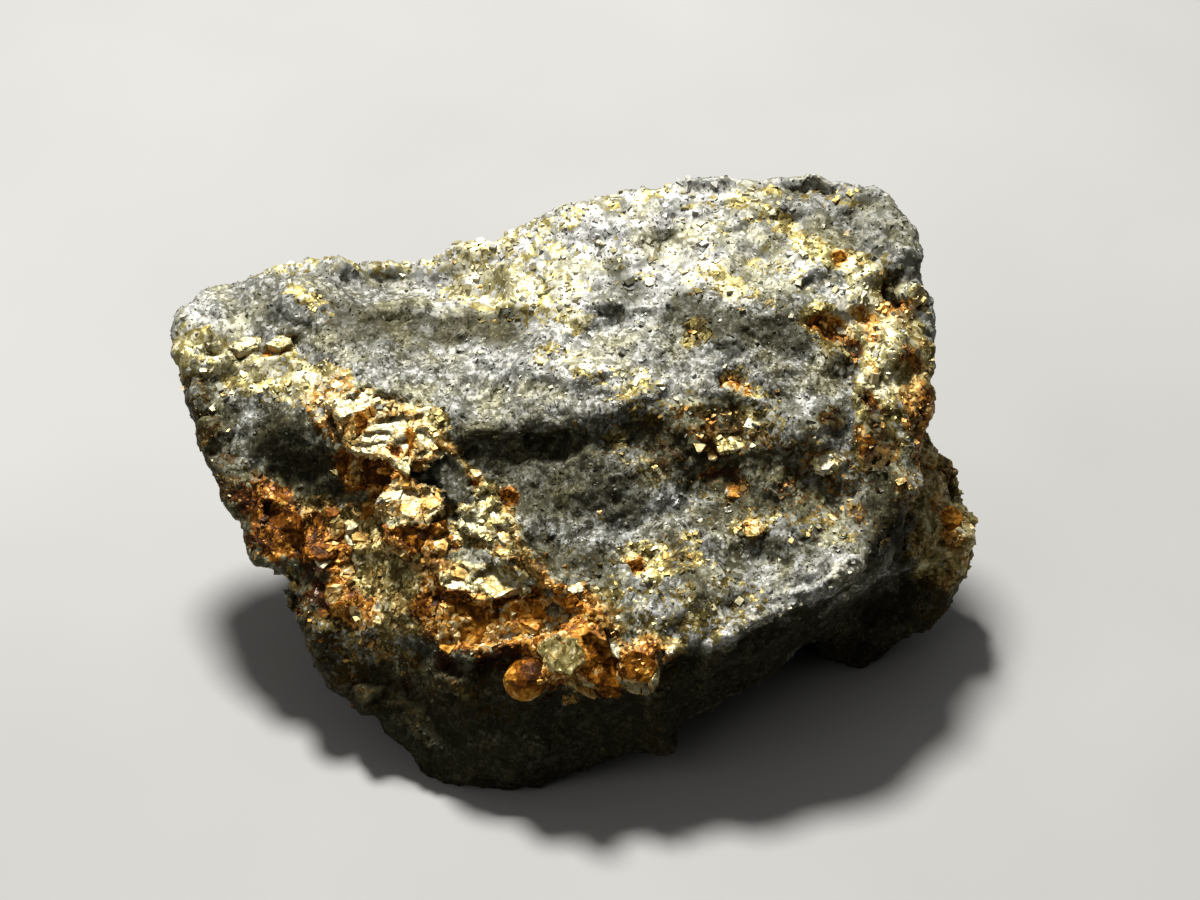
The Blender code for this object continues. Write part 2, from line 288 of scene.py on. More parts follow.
def within(us, vs, corners):
    inside = np.zeros(len(us), bool)
    for (u0, v0), (u1, v1) in zip(corners, corners[1:] + corners[:1]):
        slope = (u1 - u0) / ((v1 - v0) or tiny)
        inside ^= ((v0 > vs) != (v1 > vs)) & (us < slope * (vs - v0) + u0)
    return inside


def middleOf(corners):
    return [sum(values) / len(corners) for values in zip(*corners)]


def distanceTo(places, points):
    ends = [np.array(place) / mm for place in points]
    nearest = np.linalg.norm(places - ends[0], axis=1)
    for start, end in zip(ends, ends[1:]):
        run = end - start
        along = np.clip((places - start) @ run / max(run @ run, tiny), 0, 1)
        nearest = np.minimum(nearest, np.linalg.norm(places - start - along[:, None] * run, axis=1))
    return nearest


def closeness(distance, reach):
    return np.clip(1 - (distance / reach) ** 2, 0, 1) ** 2


def noiseAt(places, cell, shift=0):
    return np.array([noise.noise(Vector(p) / cell + Vector((shift, shift, shift))) for p in places])


def driftAt(places, cell):
    return np.array([noise.noise_vector(Vector(p) / cell) for p in places])


# paint and relief

# what the ore is made of, painted on: paths of pixels, reach in pixels, strength; dark is partly dark ore
# and partly painted shade, pale partly pale ore and partly a painted highlight
paint = {
    "gold": [
        ([(828, 418), (840, 428)], 10, 0.6), ([(705, 468), (722, 470)], 8, 0.75),
        ([(860, 436), (868, 446)], 9, 0.8), ([(185, 350), (235, 365), (300, 378), (332, 392)], 26, 0.6),
        ([(185, 375), (204, 430), (226, 480), (250, 540)], 22, 0.4), ([(337, 405), (368, 398)], 14, 1),
        ([(340, 425), (380, 420), (425, 425), (430, 450)], 24, 0.9), ([(345, 465), (410, 475)], 26, 0.9),
        ([(262, 505), (290, 540), (330, 555)], 26, 1), ([(320, 515), (350, 525), (360, 560)], 26, 0.9),
        ([(330, 590), (352, 610)], 24, 0.8), ([(385, 505), (435, 505), (440, 540), (395, 545)], 30, 1),
        ([(390, 575), (435, 590), (400, 615)], 30, 0.75),
        ([(443, 455), (478, 482), (500, 520), (512, 550)], 14, 0.9), ([(455, 520), (490, 540)], 20, 0.8),
        ([(512, 553), (555, 590), (600, 622)], 12, 0.6), ([(445, 578), (519, 584)], 20, 1),
        ([(440, 608), (500, 620), (565, 615)], 32, 1), ([(440, 655), (500, 656), (530, 648)], 12, 1),
        ([(545, 655), (600, 660), (650, 668)], 32, 1), ([(505, 668), (545, 685)], 20, 1),
        ([(300, 600), (340, 655), (400, 690), (500, 690)], 36, 0.45),
        ([(640, 692), (658, 720), (664, 750)], 12, 0.4),
        ([(870, 270), (885, 330), (880, 400), (885, 450)], 26, 0.85),
        ([(926, 436), (945, 520), (940, 590)], 40, 1), ([(908, 385), (922, 470)], 14, 0.9),
        ([(426, 264), (560, 222), (640, 195), (740, 188), (850, 192)], 12, 0.3),
        ([(470, 285), (550, 300)], 34, 0.5), ([(440, 262), (540, 245)], 24, 0.3),
        ([(545, 350), (640, 388)], 18, 0.35), ([(700, 440), (745, 430)], 20, 0.65), ([(820, 465)], 20, 0.8),
        ([(730, 375), (755, 388)], 14, 0.7), ([(693, 332)], 14, 0.9), ([(705, 272), (730, 285)], 16, 0.6),
        ([(822, 320), (850, 345)], 18, 0.85), ([(785, 222), (812, 245), (842, 258), (880, 270)], 14, 0.8),
        ([(915, 300), (922, 420)], 18, 0.8), ([(735, 195), (770, 215)], 10, 0.5),
        ([(640, 562), (690, 552)], 20, 0.7), ([(735, 530), (760, 536)], 14, 0.5), ([(600, 512)], 9, 0.8),
        ([(512, 492)], 10, 0.9), ([(657, 418)], 9, 0.8), ([(619, 434)], 9, 0.8), ([(732, 490)], 12, 0.7),
        ([(560, 300), (575, 320)], 14, 0.6), ([(290, 290), (325, 310)], 14, 0.45),
        ([(850, 490), (875, 520)], 18, 0.5), ([(620, 620), (650, 640)], 14, 0.4),
        ([(650, 440), (760, 470), (890, 500)], 60, 0.32), ([(470, 560), (640, 600), (720, 600)], 40, 0.28),
        ([(600, 230), (740, 260), (850, 300)], 70, 0.14), ([(922, 412), (930, 432)], 22, 0.8),
        ([(880, 430), (905, 480), (915, 540)], 20, 0.5), ([(265, 268), (400, 264)], 16, 0.35),
    ],
    "rust": [
        ([(828, 418), (840, 428)], 10, 0.45), ([(705, 468), (722, 470)], 8, 0.7),
        ([(860, 436), (868, 446)], 9, 0.9), ([(918, 300), (924, 420)], 14, 0.2),
        ([(895, 285), (900, 300)], 10, 0.8), ([(872, 395), (882, 412)], 10, 0.7),
        ([(850, 340), (858, 350)], 9, 0.7), ([(330, 400), (380, 430), (430, 470)], 40, 0.45),
        ([(350, 520), (430, 520), (420, 600), (350, 610)], 44, 0.25), ([(470, 490), (505, 550)], 22, 0.45),
        ([(450, 575), (520, 590), (600, 640)], 40, 0.5), ([(262, 505), (290, 540), (325, 555)], 30, 0.9),
        ([(345, 470), (410, 480)], 30, 0.85), ([(350, 412), (385, 410)], 10, 0.7),
        ([(400, 440), (425, 440)], 14, 0.5), ([(395, 535), (440, 535)], 20, 0.75),
        ([(440, 610), (500, 622), (565, 615)], 34, 0.9), ([(507, 668), (545, 685)], 24, 1),
        ([(580, 640), (600, 670), (645, 665)], 28, 0.75), ([(330, 590), (352, 610)], 24, 0.7),
        ([(300, 600), (340, 655), (400, 690), (500, 690)], 40, 0.25),
        ([(440, 655), (500, 656), (530, 648)], 12, 1), ([(914, 360), (924, 430)], 12, 0.6),
        ([(385, 505), (435, 505)], 24, 0.35), ([(635, 565)], 9, 1), ([(825, 322), (842, 325)], 12, 0.9),
        ([(866, 312), (876, 328)], 10, 0.8), ([(838, 256)], 9, 0.9), ([(896, 310), (905, 305)], 12, 0.6),
        ([(908, 385), (922, 470)], 12, 0.45), ([(945, 500), (950, 540)], 12, 0.6),
        ([(940, 452), (945, 500), (940, 600)], 36, 0.24), ([(225, 348), (245, 352)], 8, 0.4),
        ([(262, 352), (292, 343)], 9, 0.9), ([(512, 492)], 10, 0.8), ([(725, 378), (745, 385)], 10, 0.7),
        ([(204, 430), (226, 480), (250, 540)], 24, 0.3), ([(922, 412), (930, 432)], 22, 0.25),
        ([(880, 440), (905, 490), (915, 540)], 20, 0.35), ([(690, 440), (760, 470), (890, 500)], 40, 0.4),
    ],
    "pale": [
        ([(440, 265), (560, 250), (560, 300)], 40, 0.9), ([(850, 290), (880, 340), (878, 430)], 28, 0.95),
        ([(400, 500), (435, 500)], 20, 1), ([(480, 500), (500, 540)], 16, 0.9),
        ([(186, 305), (200, 300), (222, 320)], 22, 0.6),
        ([(185, 350), (240, 362), (300, 378), (335, 385)], 24, 0.95), ([(335, 408), (370, 396)], 12, 1),
        ([(355, 440), (400, 425)], 16, 1), ([(385, 505), (415, 505)], 18, 0.8),
        ([(570, 225), (700, 210)], 42, 0.7), ([(720, 210), (850, 215)], 36, 0.25),
        ([(600, 250), (650, 280), (700, 250)], 34, 0.95), ([(755, 265), (860, 280)], 34, 0.5),
        ([(470, 350), (545, 375)], 26, 0.7), ([(575, 345), (640, 380), (690, 398)], 22, 0.95),
        ([(600, 330), (640, 330)], 18, 0.5), ([(460, 395), (560, 400)], 20, 0.45),
        ([(780, 420), (850, 430)], 24, 0.45), ([(420, 345), (450, 350)], 16, 0.45),
        ([(443, 455), (478, 480), (500, 520)], 12, 0.8), ([(460, 525), (495, 535)], 16, 0.7),
        ([(560, 585), (690, 612), (850, 555)], 24, 0.3), ([(640, 510), (660, 500), (683, 490)], 12, 0.9),
        # the narrow pale stroke along the sharp lower edge, from (660, 655) to (862, 562), is a painted
        # highlight
        ([(740, 500), (830, 520)], 24, 0.35), ([(660, 655), (745, 629), (790, 601), (862, 562)], 5, 1),
        ([(445, 580), (519, 586)], 12, 0.9), ([(495, 638), (520, 634)], 8, 1),
        ([(300, 270), (400, 275)], 20, 0.35), ([(550, 655), (565, 650)], 16, 0.6),
        ([(628, 688), (652, 688)], 8, 1), ([(860, 360), (880, 380)], 16, 0.7),
        ([(815, 460), (835, 465)], 12, 0.8), ([(945, 490), (955, 530), (945, 575)], 32, 0.55),
        ([(898, 265), (912, 330)], 14, 0.5), ([(440, 290), (560, 285)], 34, 1),
    ],
    # dark strokes: dark ore, and painted shade at the foot, in the undercut, in hollows and under the brow,
    # the ledges and the sharp lower edge
    "dark": [
        ([(470, 440), (560, 450), (600, 468)], 28, 0.55), ([(540, 490), (620, 500)], 28, 0.55),
        ([(275, 440), (322, 478)], 32, 0.9), ([(368, 706), (400, 742), (620, 742)], 46, 1),
        ([(425, 750), (480, 772), (600, 755), (690, 700)], 50, 1),
        ([(290, 610), (350, 690), (440, 700)], 30, 0.65), ([(400, 720), (520, 715), (640, 715)], 26, 1),
        ([(690, 700), (780, 660)], 40, 1), ([(800, 640), (925, 615)], 40, 1),
        ([(895, 520), (912, 600)], 18, 1), ([(345, 312), (420, 328), (500, 328)], 20, 0.55),
        ([(615, 262), (630, 290)], 14, 0.5), ([(680, 305), (700, 322), (800, 338)], 18, 0.6),
        ([(425, 465), (470, 495)], 18, 0.8), ([(430, 668), (500, 672)], 26, 0.85),
        ([(300, 560), (320, 590)], 18, 0.8), ([(272, 530), (300, 562)], 16, 0.35),
        ([(540, 550), (600, 570)], 20, 0.5), ([(655, 430), (690, 470), (760, 465)], 22, 0.55),
        ([(780, 400), (800, 470)], 16, 0.4), ([(350, 330), (420, 340)], 18, 0.35),
        ([(690, 672), (760, 646), (870, 596)], 24, 0.9),
        ([(670, 670), (752, 642), (802, 616), (870, 577)], 10, 1), ([(893, 283), (900, 300)], 7, 0.7),
        ([(890, 590), (930, 616)], 16, 0.6), ([(885, 435), (882, 480), (885, 560)], 20, 0.8),
        ([(700, 520), (730, 505), (770, 500)], 14, 0.6), ([(670, 540), (700, 590)], 12, 0.5),
        ([(760, 555), (810, 540)], 12, 0.5), ([(560, 480), (600, 440)], 20, 0.4),
        ([(870, 395), (882, 412)], 7, 0.6), ([(790, 200), (880, 225)], 36, 0.2),
        ([(792, 500), (804, 510)], 10, 0.6), ([(828, 418), (840, 428)], 11, 0.8),
        ([(705, 468), (722, 470)], 8, 0.6), ([(908, 345), (914, 380), (914, 425)], 12, 0.3),
        ([(837, 353), (845, 358)], 8, 0.7), ([(888, 272), (896, 276)], 8, 0.6),
        ([(848, 342), (860, 350)], 8, 0.7), ([(195, 400), (215, 460), (245, 520)], 26, 0.5),
        ([(650, 430), (760, 460), (890, 510)], 40, 0.3),
    ],
    "bare": [
        ([(432, 468), (452, 478), (466, 500)], 16, 1), ([(455, 548), (500, 574), (540, 600)], 10, 1),
        ([(262, 440), (290, 440), (322, 478)], 22, 1), ([(640, 508), (684, 492)], 14, 1),
    ],
}

# the same for the sides that the camera doesn't see: paths and reach in mm
hiddenPaint = {
    "gold": [
        ([(24, 5, 15), (19, 12, 8), (10, 15.5, 12), (3, 16, 17), (-6, 15, 20)], 2.4, 1),
        ([(8, 15.5, 9), (-3, 15.5, 5), (-13, 13, 8), (-21, 8, 13)], 2.0, 0.9),
        ([(22, 12, 20), (15, 16, 19)], 2.2, 0.8), ([(-23, 6, 12), (-20, 2, 5)], 2.2, 0.5),
        ([(-10, 14, 16), (-4, 15, 13)], 1.6, 0.7), ([(24, 4, 12), (25, 3.5, 9), (25.5, 1, 7)], 2.4, 0.9),
    ],
    "rust": [
        ([(12, 15, 9), (5, 15.5, 12), (2, 16, 15)], 2.0, 0.8), ([(-10, 14, 6), (-15, 12, 9)], 2.2, 0.7),
        ([(20, 12, 6), (22, 9, 11)], 2.0, 0.7),
    ],
    "pale": [
        ([(16, 16, 22), (6, 17, 22)], 3.4, 0.7), ([(-18, 14, 17), (-12, 14, 12)], 3.0, 0.6),
        ([(2, 16, 9)], 3.6, 0.5),
    ],
    "dark": [
        ([(-5, 15.5, 11), (0, 15.5, 7)], 3.6, 0.8), ([(15, 15, 14)], 4.0, 0.6),
        ([(-18, 9, 5), (-22, 3, 9)], 3.6, 0.8),
    ],
}

# relief worked into the body: path of pixels, reach and height in mm, raised where it is positive
relief = {
    "shoulder crack": ([(206, 348), (252, 352)], 0.8, -0.7),
    "second shoulder crack": ([(226, 362), (268, 352), (296, 343)], 0.6, -0.6),
    "ledge lip": ([(336, 404), (362, 410), (392, 416), (430, 440)], 1.0, 0.6),
    "ledge foot": ([(340, 456), (380, 462), (420, 462)], 0.9, -0.7),
    "hill brow": ([(380, 496), (410, 490), (442, 493)], 0.9, 0.3),
    "hill crack": ([(416, 488), (427, 520)], 0.6, -0.7),
    "bright strip": ([(443, 451), (479, 482), (512, 533), (555, 584), (600, 620)], 0.8, 0.45),
    "beside the strip": ([(495, 545), (540, 592), (590, 632)], 0.8, -0.6),
    "middle ledge": ([(443, 575), (519, 573)], 0.9, 0.5),
    "under the middle ledge": ([(440, 598), (520, 596), (570, 604)], 1.0, -0.8),
    "lip": ([(440, 646), (500, 648), (530, 640)], 0.8, 0.5),
    "under the lip": ([(440, 664), (535, 662)], 0.9, -0.8),
    "brow": ([(444, 431), (507, 428), (553, 425), (593, 414), (628, 402), (662, 385)], 0.9, 0.35),
    "under the brow": ([(470, 446), (560, 448), (610, 440), (650, 425)], 1.1, -0.5),
    "sharp edge": ([(655, 657), (745, 630), (790, 602), (864, 561)], 0.5, 0.4),
    "under the sharp edge": ([(670, 672), (750, 648), (800, 622), (870, 580)], 1.0, -0.5),
    "pit": ([(722, 372), (758, 386)], 1.0, -0.7),
    "second pit": ([(822, 322), (842, 326)], 1.0, -0.8),
    "third pit": ([(866, 312), (880, 332)], 0.9, -0.7),
    "small pit": ([(838, 257)], 0.7, -0.6),
    "rust pit": ([(634, 564)], 0.6, -0.6),
    "ledge crevice": ([(378, 403), (398, 405), (412, 405)], 0.8, -0.7),
    "fourth pit": ([(893, 283), (900, 300)], 0.8, -0.6),
    "fifth pit": ([(870, 395), (882, 412)], 0.9, -0.5),
    "sixth pit": ([(848, 342), (860, 350)], 0.8, -0.5),
    "right edge": ([(926, 290), (928, 312)], 1.2, -0.6),
    "left knob": ([(290, 268), (312, 264)], 1.8, -0.6),
    "beside the left knob": ([(345, 266), (375, 266)], 1.8, 0.7),
    "left flank": ([(191, 368), (198, 398), (208, 424)], 2.0, 0.9),
    "left fringe": ([(252, 552), (262, 566)], 1.6, 0.5),
    "left spur": ([(268, 588), (280, 598)], 1.8, -1.4),
    "low left fringe": ([(308, 612), (318, 645), (334, 672), (360, 700)], 2.0, 0.9),
    "top spike": ([(798, 178), (822, 178)], 1.6, -0.8),
    "ridge": ([(430, 264), (500, 243), (600, 203)], 1.6, 0.3),
    "right wall": ([(914, 256), (918, 286)], 1.6, 0.6),
    "low right wall": ([(922, 335), (924, 415)], 1.8, 1.0),
    "lobe shoulder": ([(948, 462), (966, 484), (968, 510)], 1.8, -1.1),
    "filled pit": ([(608, 310)], 1.2, 0.4),
    "top edge": ([(690, 188), (760, 190), (830, 190)], 1.6, -0.45),
    "lobe": ([(958, 548), (942, 590), (925, 612)], 2.4, 1.1),
}

# spikes of the solid that are pushed in: place, reach and move in mm
spikes = [
    ((25.6, 3.5, 9.0), 2.2, (-1.0, 0, -0.4)),
    ((-19.3, -5.3, 7.5), 2.2, (1.1, 0.1, 0.2)),
]


# crystal faces

leanings = {
    "up": (0, -0.2, 0.98),
    "slope": (0, -0.5, 0.87),
    "front": (0, -0.75, 0.66),
    "steep": (0, -0.96, 0.28),
    "left": (-0.55, -0.4, 0.73),
    "right": (0.5, -0.5, 0.7),
    "far right": (0.75, -0.6, 0.25),
}

# share of gold, share of rust
stuffs = {
    "steel": (-0.6, 0), "silver": (0.5, 0.1), "cream": (0.9, 0.15), "ivory": (0.75, -0.2), "gold": (1, 0.4),
    "bronze": (1, 0.7), "brass": (1.4, 0.1), "amber": (1.2, 1.1), "ruby amber": (1.6, 1.5),
}

crystals = {
    "depth": 0.7,
    "widening": 0.1,
    "bevel": 0.04,
    "finest": 0.25,
    "cuts": 3,
    "grit": ((0.8, 0.15), (0.3, 0.07)),
    "raised": -0.18,
    "footTone": 0.8,
    "footLift": 0.15,
}

# how the body is pulled to the crystal faces, in mm
pull = {
    "facing": 0.15,  # only skin that faces the camera more than this
    "within": 5,
    "bed": 0.05,
    "furthest": 0.9,
    "broadFurther": 1.8,
}

# broad planes of the body itself: corners in pixels, leaning, stuff, tone and lift in mm
broadPlanes = [
    ([(338, 404), (352, 397), (380, 400), (425, 410), (434, 440), (440, 456), (424, 470), (400, 462),
      (365, 458), (346, 448), (337, 426)], "slope", "gold", 0.92, 0.1),
    ([(372, 505), (384, 493), (404, 487), (432, 485), (443, 492), (444, 510), (432, 522), (404, 526),
      (385, 523)], "slope", "gold", 0.8, 0.7),
    ([(384, 526), (404, 526), (440, 522), (450, 540), (440, 552), (404, 556), (386, 545)],
     "front", "bronze", 0.5, 0.3),
    ([(466, 490), (486, 486), (502, 505), (513, 530), (517, 553), (505, 558), (480, 538), (462, 530),
      (457, 512)], "slope", "cream", 0.78, 0.1),
    ([(442, 577), (460, 566), (485, 563), (512, 572), (532, 590), (522, 600), (495, 602), (444, 600)],
     "slope", "cream", 0.8, 0.1),
    ([(440, 603), (520, 599), (565, 600), (575, 615), (560, 632), (520, 640), (470, 650), (438, 642)],
     "front", "amber", 0.96, 0),
    ([(428, 462), (446, 462), (462, 474), (474, 494), (470, 506), (452, 504), (440, 486)],
     "slope", "steel", 0.3, 0.25),
    ([(712, 440), (722, 432), (738, 432), (746, 441), (736, 452), (719, 452)], "up", "cream", 0.7, 0),
    ([(640, 571), (650, 566), (665, 571), (656, 583), (643, 581)], "up", "cream", 0.85, 0),
    ([(865, 362), (876, 360), (882, 370), (876, 381), (864, 379)], "up", "gold", 0.85, 0),
    ([(811, 463), (817, 456), (828, 453), (838, 458), (838, 468), (828, 474), (816, 472)],
     "slope", "cream", 0.97, 0.3),
    ([(744, 520), (756, 516), (765, 526), (759, 538), (746, 536)], "up", "gold", 0.65, 0),
]

